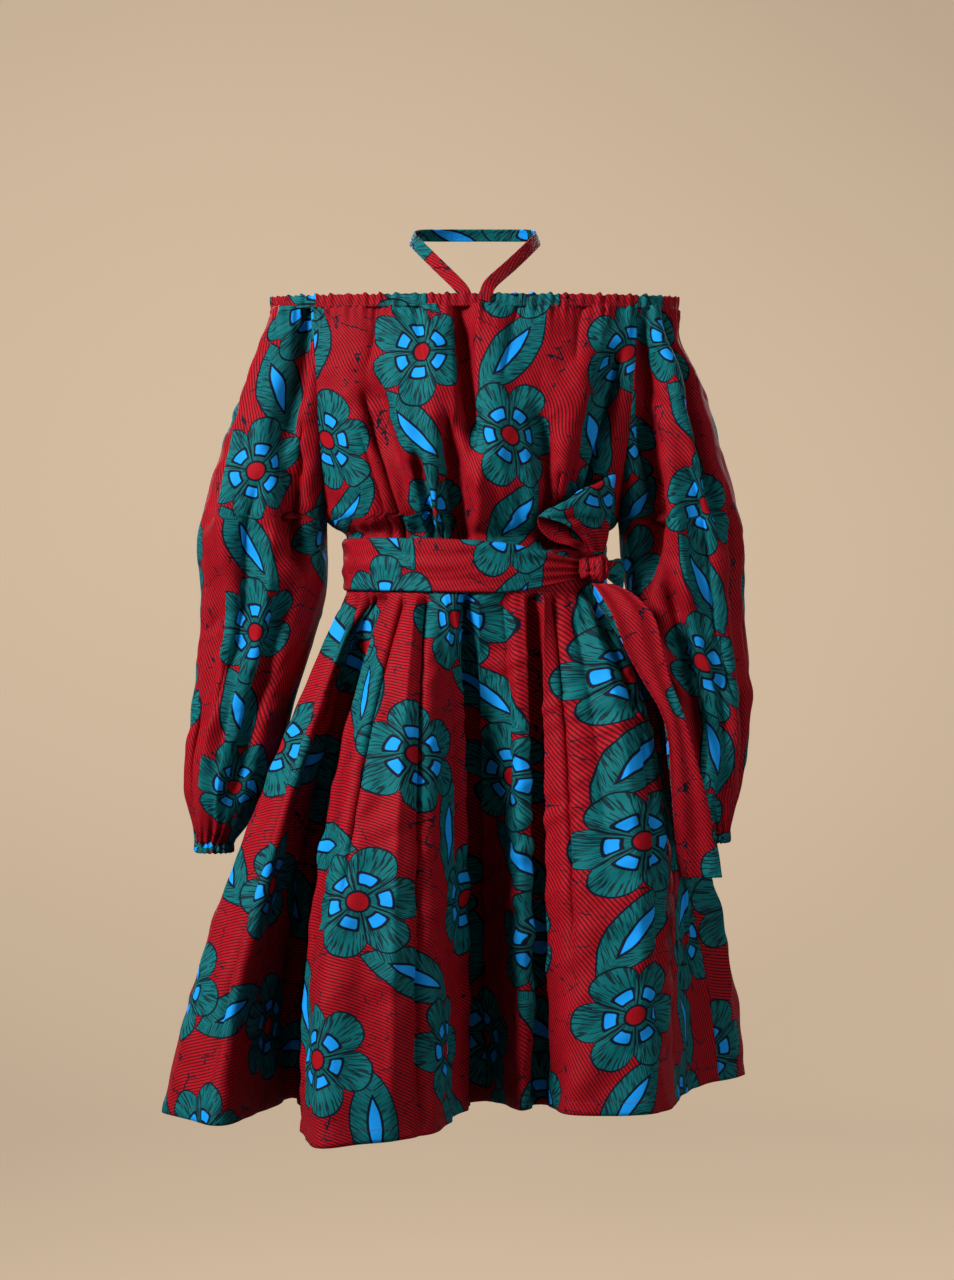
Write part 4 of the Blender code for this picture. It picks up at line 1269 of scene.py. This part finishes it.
def thread_material():
    """The dark red sewing thread, made once."""
    made = bpy.data.materials.get("sewing_thread")
    return made or plain_material("sewing_thread", bpy.context.scene.halter_dress_print.thread, 0.6)


# User settings

def size_setting(name, description, default, least, most):
    """A length that a user may change, given in mm."""
    return FloatProperty(name=name, description=description, default=default * MM, min=least * MM,
                         max=most * MM, unit="LENGTH", precision=4)


def colour_setting(name, description, *rgb):
    """A colour that a user may change."""
    return FloatVectorProperty(name=name, description=description, subtype="COLOR", size=4, min=0.0, max=1.0,
                               default=(*rgb, 1.0))


def power_setting(name, description, default):
    """A light's power in watts."""
    return FloatProperty(name=name, description=description, default=default, min=0.0, max=500.0,
                         unit="POWER")


class HalterDressSizes(bpy.types.PropertyGroup):
    """Sizes of the cloth, its gathers and its stitches."""
    cloth_thick: size_setting("Cloth thickness", "How thick the cotton shows at an edge", 1.0, 0.5, 1.5)
    pucker_depth: size_setting("Pucker depth", "Height of the gathers under the neck casing", 3.2, 0.0, 5)
    pucker_length: size_setting("Pucker length", "How far those gathers run down the cloth", 26, 5, 100)
    gather_depth: size_setting("Gather depth", "Height of the small folds at the belt", 1.1, 0.0, 5)
    gather_length: size_setting("Gather length", "How far those folds run from the belt", 60, 10, 200)
    crumple_depth: size_setting("Crumple depth", "Height of the cloth's irregular dents", 1.5, 0.0, 3)
    crease_depth: size_setting("Small crease depth", "Height of the short scattered creases", 1.2, 0.0, 3)
    crease_scale: FloatProperty(name="Crease scale", description="Multiplies the depth of the listed creases",
                                default=1.7, min=0.0, max=3.0, subtype="FACTOR")
    stitch_length: size_setting("Stitch length", "Length of one stitch", 2.3, 1, 5)
    stitch_pitch: size_setting("Stitch pitch", "Distance from one stitch to the next", 3.2, 1.5, 8)
    thread_thick: size_setting("Thread thickness", "Thickness of the sewing thread", 0.5, 0.2, 1)


class HalterDressPrint(bpy.types.PropertyGroup):
    """Colours and repeat of the print."""
    ground: colour_setting("Ground", "Crimson between the pin lines", 0.290, 0.001, 0.006)
    ground_light: colour_setting("Light ground", "The ground where the dye is thinner", 0.400, 0.002, 0.011)
    pin_line: colour_setting("Pin line", "Fine dark lines over the ground", 0.035, 0.001, 0.003)
    motif: colour_setting("Petals and leaves", "Teal of the flowers and leaves", 0.001, 0.118, 0.126)
    vein: colour_setting("Veins", "Dark strokes on petals and leaves", 0.002, 0.012, 0.020)
    core: colour_setting("Bright bars", "Bright blue of the bars and midribs", 0.006, 0.270, 0.760)
    outline: colour_setting("Outlines", "Near-black blue round each motif", 0.001, 0.004, 0.012)
    thread: colour_setting("Thread", "Sewing thread", 0.120, 0.008, 0.012)
    repeat_wide: size_setting("Repeat width", "Distance between columns of flowers", 134, 50, 400)
    repeat_tall: size_setting("Repeat height", "Distance between flowers in a column", 176, 50, 400)


class HalterDressStudio(bpy.types.PropertyGroup):
    """Room and light."""
    wall: colour_setting("Wall", "Colour of the seamless room", 0.640, 0.490, 0.345)
    # Wall glow is painted light: the backdrop gives off its own light, brightest at GLOW_AT, and no lamp
    # lights it
    glow: FloatProperty(name="Wall glow", description="How far the backdrop is lit by its own lamps",
                        default=0.89, min=0.0, max=2.0, subtype="FACTOR")
    key_power: power_setting("Key light", "Power of the light at the front left", 36.0)
    fill_power: power_setting("Fill light", "Power of the light at the front right", 6.0)
    back_power: power_setting("Back lights", "Power of each light on the far side", 12.0)
    sky: FloatProperty(name="Room light", description="Strength of the even light from above and around",
                       default=0.13, min=0.0, max=5.0, subtype="FACTOR")


# Operators

class HALTER_OT_studio(bpy.types.Operator):
    """Make the room, the lights and the camera"""
    bl_idname = "halter_dress.studio"
    bl_label = "Studio"

    def execute(self, context):
        studio = context.scene.halter_dress_studio
        self.make_room(studio)
        target = Vector(CAMERA_TARGET)
        for name, place, size, setting in LIGHTS:
            self.make_light(name, place, size, getattr(studio, setting), target)
        world = bpy.data.worlds.new("room_light")
        world.use_nodes = True
        sky = world.node_tree.nodes["Background"].inputs
        sky["Color"].default_value = (1.0, 0.98, 0.95, 1.0)
        sky["Strength"].default_value = studio.sky
        context.scene.world = world
        context.scene.view_settings.view_transform = "Standard"
        lens = bpy.data.cameras.new("camera")
        lens.lens = CAMERA_LENS
        lens.sensor_width = 36
        camera = bpy.data.objects.new("camera", lens)
        camera.location = target - Vector((0, CAMERA_DISTANCE, 0))
        camera.rotation_euler = (math.pi / 2, 0, 0)
        context.scene.collection.objects.link(camera)
        context.scene.camera = camera
        return {"FINISHED"}

    def make_light(self, name, place, size, power, target):
        """A square soft light that faces the dress."""
        lamp = bpy.data.lights.new(name, "AREA")
        lamp.size = size
        lamp.spread = LIGHT_SPREAD
        lamp.energy = power
        light = bpy.data.objects.new(name, lamp)
        light.location = place
        light.rotation_euler = (target - light.location).to_track_quat("-Z", "Y").to_euler()
        bpy.context.scene.collection.objects.link(light)

    def make_room(self, studio):
        """A round room: floor, quarter-round cove and wall, turned about the dress, open above."""
        bend = np.linspace(0, math.pi / 2, 16)
        out = np.concatenate(([0.0, 1.5, 3.0], ROOM_REACH + ROOM_COVE * (np.sin(bend) - 1), [ROOM_REACH]))
        up = np.concatenate(([0.0, 0.0, 0.0], ROOM_COVE * (1 - np.cos(bend)), [ROOM_TALL]))
        turn = np.linspace(0, 2 * math.pi, 96, endpoint=False)
        points = np.stack(np.broadcast_arrays(np.outer(out, np.cos(turn)), np.outer(out, np.sin(turn)),
                                              up[:, None] + FLOOR_Z), -1)
        faces = corners(close_grid(point_numbers(points), (False, True))).reshape(-1, 4)
        mesh = bpy.data.meshes.new("studio_room")
        mesh.from_pydata(points.reshape(-1, 3).tolist(), [], faces[:, ::-1].tolist())
        mend(mesh, MM, turn_out=False)
        mesh.shade_smooth()
        mesh.materials.append(self.make_paper(studio))
        room = bpy.data.objects.new("studio_room", mesh)
        room.visible_diffuse = False
        room.visible_glossy = False
        bpy.context.scene.collection.objects.link(room)

    def make_paper(self, studio):
        """Paper with painted light: a glow that falls with the squared distance from the backdrop's brightest
        place.
        """
        paper = plain_material("pale_paper", studio.wall, 0.95)
        p = Pattern(paper.node_tree)
        x, y, z = p.split(p.node("ShaderNodeTexCoord", {}).outputs["Object"])
        aside, away = [p.mul(p.math("POWER", p.sub(place, at), 2.0), falls)
                       for place, at, falls in zip((x, z), GLOW_AT, GLOW_FALLS)]
        glow = p.mul(p.math("MAXIMUM", p.sub(p.sub(1.0, aside), away), GLOW_LEAST), studio.glow)
        shader = paper.node_tree.nodes["Principled BSDF"]
        # Painted light: the wall colour glows by itself, in a pool that fades from GLOW_AT
        shader.inputs["Emission Color"].default_value = tuple(studio.wall)
        p.tree.links.new(glow, shader.inputs["Emission Strength"])
        return paper


class HALTER_OT_bodice(bpy.types.Operator):
    """Make the front and back of the bodice"""
    bl_idname = "halter_dress.bodice"
    bl_label = "Bodice"

    def execute(self, context):
        sizes = context.scene.halter_dress_sizes
        front = self.make_panel("bodice_front", -1, FRONT_CREASES_MM, sizes, PANEL_PRINT["front"])
        back = self.make_panel("bodice_back", 1, BACK_CREASES_MM, sizes, PANEL_PRINT["back"])
        return {"FINISHED"}

    def make_panel(self, node, face, creases, sizes, move):
        """A panel's surface with its crisp creases, neck puckers, waist gathers and dents."""
        share = np.linspace(-1, 1, 169)[None, :]
        below = np.linspace(UNDERARM, SEAM_GAP / 2, 18)[1:]
        height = np.concatenate((np.linspace(CLOTH_TOP, UNDERARM, 92), below))[:, None]
        points = bodice_surface(share, height, face)
        if face > 0:
            share = share[:, ::-1]
            points = points[:, ::-1]
        x = points[..., 0]
        middle = points.shape[1] // 2
        relief, slide = crease_moves(creases, FOLD_NAMES, x, height, MM, MM)
        relief = relief + dents(points, middle, sizes, (1.0, 0.062, 1.0 + face), (1.0, 44, 0.35, 1.0 + face))
        relief = relief * from_edges(share, 0.12)
        relief = relief + neck_puckers("front" if face < 0 else "back", share, height, sizes)
        relief = relief + waist_gathers(x, np.maximum(height - WAIST_CLEAR, 0), 2.1 * MM, sizes)
        relief = relief * belt_calm(relief, height) * from_edges(share, 0.03)
        slide = -face * slide * from_edges(share, 0.12) * valleys_end(height)
        points = move_cloth(points, relief, slide)
        return add_cloth(node, points, straight_cut(points, middle), move, thick=sizes.cloth_thick)


class HALTER_OT_sleeves(bpy.types.Operator):
    """Make the two balloon sleeves"""
    bl_idname = "halter_dress.sleeves"
    bl_label = "Sleeves"

    def execute(self, context):
        sizes = context.scene.halter_dress_sizes
        left = self.make_sleeve("left", 1, SLEEVE_LEFT_CREASES, sizes)
        right = self.make_sleeve("right", -1, SLEEVE_RIGHT_CREASES, sizes)
        return {"FINISHED"}

    def make_sleeve(self, stretch, side, creases, sizes):
        """A sleeve's surface with its crisp creases, neck puckers, wrist gathers and dents."""
        wrist = wrist_height(side)
        share = np.linspace(-1, 1, 181)[None, :]
        above = np.linspace(CLOTH_TOP, UNDERARM, 60)
        below = UNDERARM + (wrist - 2 * MM - UNDERARM) * np.linspace(0, 1, 86)[1:] ** 0.95
        height = np.concatenate((above, below))[:, None]
        points = sleeve_surface(share, np.maximum(height, wrist), side)
        points[..., 2] += np.minimum(height - wrist, 0)
        centre, half, depth, middle, turn = sleeve_section(height, side)
        angle = share * turn
        across = np.degrees(angle)
        outside = points.shape[1] // 2
        calmer = from_edges(share, 0.12) * np.clip(half / (45 * MM), 0.25, 1)
        relief, slide = crease_moves(creases, SLEEVE_FOLD_NAMES, across, height, 1.0, 1 / TURN_TO_MM)
        relief = relief + dents(points, outside, sizes, (1.3, 0.075, 2.0 + side), (1.2, 70, 0.9, 3.0 + side))
        relief = relief * calmer + neck_puckers(stretch, share, height, sizes)
        up = np.maximum(height - wrist, 0)
        around = angle + math.pi / 2
        reach = 26 * MM * (1 + 0.45 * np.sin(3 * around + 0.6) + 0.25 * np.sin(7 * around))
        relief = relief + 1.7 * MM * np.cos(CUFF_WAVES * around) * np.exp(-up / reach)
        relief = relief * np.where(height > UNDERARM, from_edges(share, 0.03), 1.0)
        slide = side * slide * calmer
        if side < 0:
            points, relief, slide = points[:, ::-1], relief[:, ::-1], slide[:, ::-1]
        points = move_cloth(points, relief, slide)
        ids = point_numbers(points)
        tube = height[:, 0] <= UNDERARM + 1e-9
        ids[tube, -1] = ids[tube, 0]
        uv = straight_cut(points, outside)
        move = PANEL_PRINT[stretch]
        return add_cloth("sleeve_" + stretch, points, uv, move, thick=sizes.cloth_thick, ids=ids)


class HALTER_OT_neck_casing(bpy.types.Operator):
    """Make the gathered casing round the neckline and its stitches"""
    bl_idname = "halter_dress.neck_casing"
    bl_label = "Neck casing"

    def execute(self, context):
        count = CASING_WAVES * WAVE_STEPS
        ring = even_steps(smooth_ring(np.concatenate(list(neck_line().values())), 24), count)
        out = ring_outward(ring)
        wave = neck_wave(np.arange(count) / count)[:, None]
        turn = np.linspace(0, 2 * math.pi, 18, endpoint=False)[None, :]
        rise, bulge = [squared_up(wave, by) for wave, by in zip((np.sin(turn), np.cos(turn)), CASING_OVAL)]
        pinch = 1 - 0.25 * np.exp(-((rise + 0.62) / 0.16) ** 2)
        away = bulge * CASING_THICK / 2 * pinch + CASING_SWING * wave * (0.75 + 0.35 * rise)
        lift = rise * CASING_TALL / 2 + CASING_RISE * wave * np.clip(rise, 0, 1)
        points = ring[:, None] + out[:, None] * away[..., None] + UP * lift[..., None]
        uv = self.print_over(lift, np.cos(turn))
        piece = add_cloth("neck_casing", points, uv, (0.0, 0.0), rings=(True, True))
        line = ring + out * (CASING_THICK / 2 * 0.8 + CASING_SWING * wave * 0.5) - UP * CASING_TALL * 0.31
        add_stitches("neck_casing_stitches", [(line, out)], thread_material())
        return {"FINISHED"}

    def print_over(self, lift, faces):
        """Print coordinates that run on from each panel under the casing, over its edge and down inside."""
        lines = neck_line()
        lengths = [run_along(lines[key], 0)[-1] for key in PANEL_PRINT]
        starts = np.concatenate(([0.0], np.cumsum(lengths)))
        run = starts[-1] * np.arange(len(lift) + 1) / len(lift)
        spot = np.clip(np.searchsorted(starts, run, side="right") - 1, 0, len(lengths) - 1)
        moves = np.array(list(PANEL_PRINT.values()))[spot]
        u = run - (starts[:-1] + starts[1:])[spot] / 2 + moves[:, 0]
        v = np.where(faces >= 0, lift + CASING_TALL / 2, 1.5 * CASING_TALL - lift) - TUCK
        v = close_grid(v, (True, True)) + moves[:, 1:]
        return np.stack([np.broadcast_to(u[:, None], v.shape), v], axis=-1)


class HALTER_OT_cuffs(bpy.types.Operator):
    """Make the elastic cuffs"""
    bl_idname = "halter_dress.cuffs"
    bl_label = "Cuffs"

    def execute(self, context):
        for side, name in ((1, "left"), (-1, "right")):
            piece = self.make_cuff(side, name)
        return {"FINISHED"}

    def make_cuff(self, side, name):
        """A rounded flat tube round the wrist whose wall waves in and out."""
        wrist = wrist_height(side)
        centre, half, depth, middle, turn = sleeve_section(np.array(wrist), side)
        count = CUFF_WAVES * WAVE_STEPS
        angle = 2 * math.pi * np.arange(count) / count
        x = side * centre + (half - CUFF_INSIDE) * np.sin(angle)
        y = middle - (depth - CUFF_INSIDE) * np.cos(angle)
        ring = np.stack([x, y, np.full(count, wrist - SEAM_GAP - CUFF_TALL / 2)], axis=-1)
        out = ring_outward(ring)
        uneven = 0.8 + 0.3 * np.sin(3 * angle + 1.0)
        wave = (np.cos(CUFF_WAVES * angle) * uneven)[:, None]
        turn = np.linspace(0, 2 * math.pi, 16, endpoint=False)[None, :]
        rise, bulge = [squared_up(wave, by) for wave, by in zip((np.sin(turn), np.cos(turn)), CASING_OVAL)]
        away = bulge * CUFF_THICK / 2 + CUFF_SWING * wave * (0.8 - 0.3 * rise)
        lift = rise * CUFF_TALL / 2 + 0.7 * MM * wave * np.clip(-rise, 0, 1)
        points = ring[:, None] + out[:, None] * away[..., None] + UP * lift[..., None]
        around = close_grid(points, (True, True))
        uv = np.stack([run_along(around, 0), run_along(around, 1)], axis=-1)
        return add_cloth("cuff_" + name, points, uv, (0.062, 0.075), rings=(True, True))


class HALTER_OT_strap(bpy.types.Operator):
    """Make the strap round the neck"""
    bl_idname = "halter_dress.strap"
    bl_label = "Halter strap"

    def execute(self, context):
        line = rows_along(STRAP_MM, 150) * MM
        face = line * np.array([1.0, 1.0, 0.0]) + UP * STRAP_TILT
        across = unit(np.cross(np.gradient(line, axis=0), face))
        share = np.linspace(0.5, -0.5, 13)[None, :]
        points = line[:, None, :] + (share * STRAP_WIDE)[..., None] * across[:, None, :]
        run = run_along(points, 0)
        crown = 0.5 * (1 - (2 * share) ** 4) - 0.35 * np.exp(-((np.abs(share) - 0.36) / 0.05) ** 2)
        relief = MM * (crown + 0.35 * crumple(run, 0 * run, 0.05, 4.0) - 0.5)
        points = points + outward(points) * relief[..., None]
        uv = np.stack([-run_along(points, 1, 6), run], axis=-1)
        piece = add_cloth("halter_strap", points, uv, (0.0, 0.055), 0.3, thick=STRAP_CLOTH)
        out = outward(points)
        lines = [(points[:, k], out[:, k]) for k in (2, 10)]
        add_stitches("halter_strap_stitches", lines, thread_material())
        return {"FINISHED"}


class HALTER_OT_belt(bpy.types.Operator):
    """Make the tie belt: its band, knot, bow loop and two hanging ends"""
    bl_idname = "halter_dress.belt"
    bl_label = "Tie belt"

    def execute(self, context):
        sizes = context.scene.halter_dress_sizes
        self.make_band()
        self.make_knot()
        self.make_loop(sizes)
        wide = self.make_tail("belt_tail_wide", WIDE_TAIL_MM, 0.0, sizes, (0.01, 0.06), 28)
        narrow = self.make_tail("belt_tail_narrow", NARROW_TAIL_MM, NARROW_BEHIND, sizes, (0.062, 0.0), 14)
        return {"FINISHED"}

    def make_band(self):
        """Round the waist: a rounded face with lengthwise folds, sharper near the knot, and a flat back."""
        degrees = np.linspace(-180, 180, 420, endpoint=False)[:, None]
        angles = column(BELT_MM, BELT_NAMES, "angle")
        top = flow_round(angles, column(BELT_MM, BELT_NAMES, "top", MM), degrees)
        bottom = flow_round(angles, column(BELT_MM, BELT_NAMES, "bottom", MM), degrees)
        level = np.concatenate((np.linspace(0, 1, 30), np.linspace(1, 0, 8)[1:-1]))[None, :]
        front = np.concatenate((np.ones(30), np.zeros(6)))[None, :]
        near = np.exp(-((degrees - KNOT_ANGLE) / 26.0) ** 2)
        sway = 0.06 * np.sin(np.radians(3 * degrees + 40)) + 0.04 * np.sin(np.radians(7 * degrees))
        soft = 0.34 * np.cos(2 * math.pi * 2 * (level + sway) + 0.5)
        soft = soft + 0.2 * np.cos(2 * math.pi * 3.6 * (level - sway))
        crease = np.exp(-((level - 0.26 - 0.9 * sway) / 0.05) ** 2)
        soft = soft - 0.5 * crease * np.cos(np.radians(degrees)) ** 2
        pinch = 0.55 * np.cos(2 * math.pi * 3.5 * (level + 0.5 * sway))
        edge = (1 - np.abs(2 * level - 1) ** 10) ** 0.5
        fold = 1 + 0.8 * soft * (1 - near) + 1.1 * pinch * near
        away = LYING_GAP + front * BELT_THICK * fold * (0.35 + 0.65 * edge)
        x, y, slope = waist_ring(np.radians(degrees) + 0 * level)
        z = bottom + (top - bottom) * level
        points = np.stack([x + away * slope[..., 0], y + away * slope[..., 1], z], axis=-1)
        around = close_grid(points, (True, True))
        uv = np.stack([run_along(around, 0, 210), run_along(around, 1)], axis=-1)
        return add_cloth("belt_band", points, uv, (0.030, 0.018), rings=(True, True))

    def make_knot(self):
        """The knot: squarish ovals along its length, by the table of its heights and depths.

        The strip that goes over it is creased crosswise, and its two ends are creased lengthwise. Its right
        end reaches further out and hangs down a little, as the flap below a knot does.
        """
        stand = LYING_GAP + (1 + BELT_FOLD) * BELT_THICK + KNOT_HALF_DEEP - KNOT_SETTLES
        x, y, slope = waist_ring(np.array(math.radians(KNOT_ANGLE)), stand)
        out = np.array([math.sin(KNOT_FACES), -math.cos(KNOT_FACES), 0.0])
        along = np.cross(UP, out)
        turn = np.linspace(0, 2 * math.pi, 144, endpoint=False)[None, :]
        share = np.linspace(-1, 1, 90)[:, None]
        keys, *shape = np.array(KNOT_SHAPE).T
        high, deep = [flow(keys, each * MM, share) for each in shape]
        over = np.exp(-((share + 0.08 + 0.10 * np.sin(turn)) / 0.42) ** 8)
        gathers = 0.10 * np.cos(6 * turn + 2.0 * share) + 0.07 * np.cos(11 * turn - 1.5 * share)
        bands = 0.10 * np.cos(15 * share + 3.5 * np.sin(turn))
        bands = bands + 0.04 * np.cos(31 * share - 2.0 * np.sin(turn))
        swell = 1 + gathers * (1 - over) + bands * over
        flap = np.maximum(share - KNOT_FLAP_FROM, 0)
        a = KNOT_HALF_WIDE * (share + 0.7 * flap) * np.ones_like(turn)
        b = high * squared_up(np.cos(turn), 0.8) * (1 + 0.4 * (swell - 1)) - KNOT_FLAP_DROP * flap
        c = deep * squared_up(np.sin(turn), 0.7) * swell
        points = np.array([x, y, KNOT_HEIGHT]) + a[..., None] * along + b[..., None] * UP + c[..., None] * out
        around = close_grid(points, (False, True))
        uv = np.stack([0 * around[..., 0] + share * KNOT_HALF_WIDE * 1.3, run_along(around, 1)], axis=-1)
        return add_cloth("belt_knot", points, uv, (0.140, -0.007), rings=(False, True))

    def make_loop(self, sizes):
        """The bow loop: a strip that leaves the knot, turns over at the top and comes back behind itself."""
        rows = rows_along(LOOP_MM, 150) * MM
        share = np.linspace(0, 1, 40)[None, :]
        left_x, left_z, right_x, right_z, stand = rows.T[..., None]
        x = left_x + (right_x - left_x) * share
        z = left_z + (right_z - left_z) * share
        y = bodice_front_depth(x, np.maximum(z, UNDERARM)) - stand
        points = np.stack([x, y, z], axis=-1)
        end = np.linspace(0, 1, 150)[:, None]
        pinch = np.exp(-end / 0.16) + np.exp(-(1 - end) / 0.16)
        edge = ease((0.5 - np.abs(share - 0.5)) / 0.08)
        relief = 1.9 * np.cos(2 * math.pi * (2.2 * share + 0.4 * end)) * (0.5 + pinch)
        relief = relief + 1.4 * crumple(run_along(points, 1), run_along(points, 0), 0.05, 5.0)
        points = points + outward(points) * (relief * MM * (0.3 + 0.7 * edge))[..., None]
        uv = np.stack([run_along(points, 0), run_along(points, 1, 20)], axis=-1)
        return add_cloth("belt_loop", points, uv, (0.012, 0.030), 0.5, thick=sizes.cloth_thick)

    def make_tail(self, node, table, behind, sizes, move, columns):
        """A hanging end: its edges from the table, in front of the skirt, with folds along it."""
        rows = rows_along(table, 170) * MM
        share = np.linspace(0, 1, columns)[None, :]
        z, left_x, right_x, left_off, right_off = rows.T[..., None]
        x = left_x + (right_x - left_x) * share
        off = left_off + (right_off - left_off) * share
        z = z + 0 * x
        keys, depths = np.array(TAIL_DEPTH_MM, float).T * MM
        hang = flow(keys, depths, z) + behind
        skirt = skirt_front_depth(x.ravel(), z.ravel()).reshape(x.shape)
        points = np.stack([x, np.minimum(skirt, hang) - off, z], axis=-1)
        wide = np.clip((right_x - left_x) / TAIL_FULL_WIDTH, 0.2, 1.0)
        run = run_along(points, 0)
        fold = 1.6 * np.cos(2 * math.pi * (1.6 * share + 2.2 * run)) * wide
        fold = fold + 0.5 * crumple(x, run, 0.045, 6.0)
        edge = ease((0.5 - np.abs(share - 0.5)) / 0.1)
        points = points + outward(points) * (fold * (0.35 + 0.65 * edge) * MM)[..., None]
        uv = np.stack([run_along(points, 1, columns // 2), -run_along(points, 0)], axis=-1)
        return add_cloth(node, points, uv, move, thick=sizes.cloth_thick)


class HALTER_OT_skirt(bpy.types.Operator):
    """Make the front and back of the skirt and its hem stitches"""
    bl_idname = "halter_dress.skirt"
    bl_label = "Skirt"

    def execute(self, context):
        sizes = context.scene.halter_dress_sizes
        front, hem = self.make_panel("skirt_front", -90, 90, FRONT_PLEATS_MM, sizes, (0.03, 0.02), -0.55)
        back, hem_back = self.make_panel("skirt_back", 90, 270, BACK_PLEATS_MM, sizes, (0.05, 0.06), 0.3)
        add_stitches("skirt_hem_stitches", [hem, hem_back], thread_material())
        return {"FINISHED"}

    def make_panel(self, node, first, last, pleats, sizes, move, turn):
        """A panel from the waist seam to the hem, with its pleat lines, waist gathers and dents.

        Its columns are spread by the mean of the angle and the hem's length, so that deep folds stay smooth.
        """
        fine = np.linspace(first, last, 2400)
        hem = run_along(skirt_surface(fine, np.ones_like(fine)), 0)
        spread = 0.65 * hem / hem[-1] + 0.35 * (fine - fine[0]) / (fine[-1] - fine[0])
        degrees = np.interp(np.linspace(0, 1, 331), spread, fine)[None, :]
        fall = np.concatenate(([-1.0, -0.5], np.linspace(0, 1, 136) ** 1.1))[:, None]
        points = skirt_surface(degrees, fall)
        along = run_along(points, 1)
        down = run_along(points, 0)
        relief, slide = np.zeros((2, *points.shape[:2]))
        for row in pleats:
            pleat = dict(zip(PLEAT_NAMES, row))
            middle = np.argmin(np.abs(degrees[0] - pleat["angle"]))
            half = pleat["half_wide"] * MM * (1 + 1.3 * np.clip(fall, 0, 1))
            gap = (along - along[:, middle:middle + 1]) / half
            fade = ease((fall - pleat["starts"]) / 0.04 + 0.3) * ease((pleat["ends"] + 0.15 - fall) / 0.3)
            relief = relief + sizes.crease_scale * pleat["depth"] * MM * crisp(gap) * fade
            slide = slide - SLIDE_MOST * half * min(1.0, abs(pleat["depth"]) / 6) * gather_in(gap) * fade
        waist = np.radians(degrees) * WAIST_RADIUS
        relief = relief + waist_gathers(waist, np.maximum(down + SKIRT_START, 0), 1.9 * MM, sizes)
        flute = np.cos(2 * math.pi * (along + 0.3 * down) / 0.085 + 1.4 * np.sin(along / 0.06))
        relief = relief + 1.2 * MM * flute * ease((fall - 0.2) / 0.4)
        relief = relief + 1.4 * sizes.crumple_depth * crumple(along, down, 0.085, 7.0) * ease(fall / 0.15)
        creases = scattered_creases(along, down, 110, 0.3, first / 90)
        relief = relief + sizes.crease_depth * creases * ease(fall / 0.1)
        inside = np.minimum(degrees - degrees[0, 0], degrees[0, -1] - degrees)
        fade = ease((fall + 0.004) / 0.02) * ease(inside / 3.0)
        hem_roll = 0.5 * MM * ease((HEM_TALL - (down[-1] - down)) / (3 * MM))
        points = move_cloth(points, relief * fade + hem_roll, slide * fade)
        piece = add_cloth(node, points, ring_cut(points, turn), move, thick=sizes.cloth_thick)
        return piece, (points[-4], outward(points)[-4])


class HALTER_PT_panel(bpy.types.Panel):
    """The dress's settings and the buttons that make its pieces"""
    bl_idname = "HALTER_PT_panel"
    bl_label = "Halter Dress"
    bl_space_type = "VIEW_3D"
    bl_region_type = "UI"
    bl_category = "Halter Dress"

    def draw(self, context):
        for operator in OPERATORS:
            self.layout.operator(operator.bl_idname)
        scene = context.scene
        for settings in (scene.halter_dress_sizes, scene.halter_dress_print, scene.halter_dress_studio):
            box = self.layout.box()
            for name in settings.bl_rna.properties.keys():
                if name not in ("rna_type", "name"):
                    box.prop(settings, name)


SETTINGS = (HalterDressSizes, HalterDressPrint, HalterDressStudio)
OPERATORS = (
    HALTER_OT_studio,
    HALTER_OT_bodice,
    HALTER_OT_sleeves,
    HALTER_OT_neck_casing,
    HALTER_OT_cuffs,
    HALTER_OT_strap,
    HALTER_OT_skirt,
    HALTER_OT_belt,
)


def register():
    """Registers the settings, the operators and the panel."""
    for kind in SETTINGS + OPERATORS + (HALTER_PT_panel,):
        bpy.utils.register_class(kind)
    bpy.types.Scene.halter_dress_sizes = PointerProperty(type=HalterDressSizes)
    bpy.types.Scene.halter_dress_print = PointerProperty(type=HalterDressPrint)
    bpy.types.Scene.halter_dress_studio = PointerProperty(type=HalterDressStudio)


def unregister():
    """Takes away what register added."""
    del bpy.types.Scene.halter_dress_studio
    del bpy.types.Scene.halter_dress_print
    del bpy.types.Scene.halter_dress_sizes
    for kind in reversed(SETTINGS + OPERATORS + (HALTER_PT_panel,)):
        bpy.utils.unregister_class(kind)


def main():
    """Makes the room and the dress."""
    register()
    for operator in OPERATORS:
        group, name = operator.bl_idname.split(".")
        getattr(getattr(bpy.ops, group), name)()


if __name__ == "__main__":
    main()
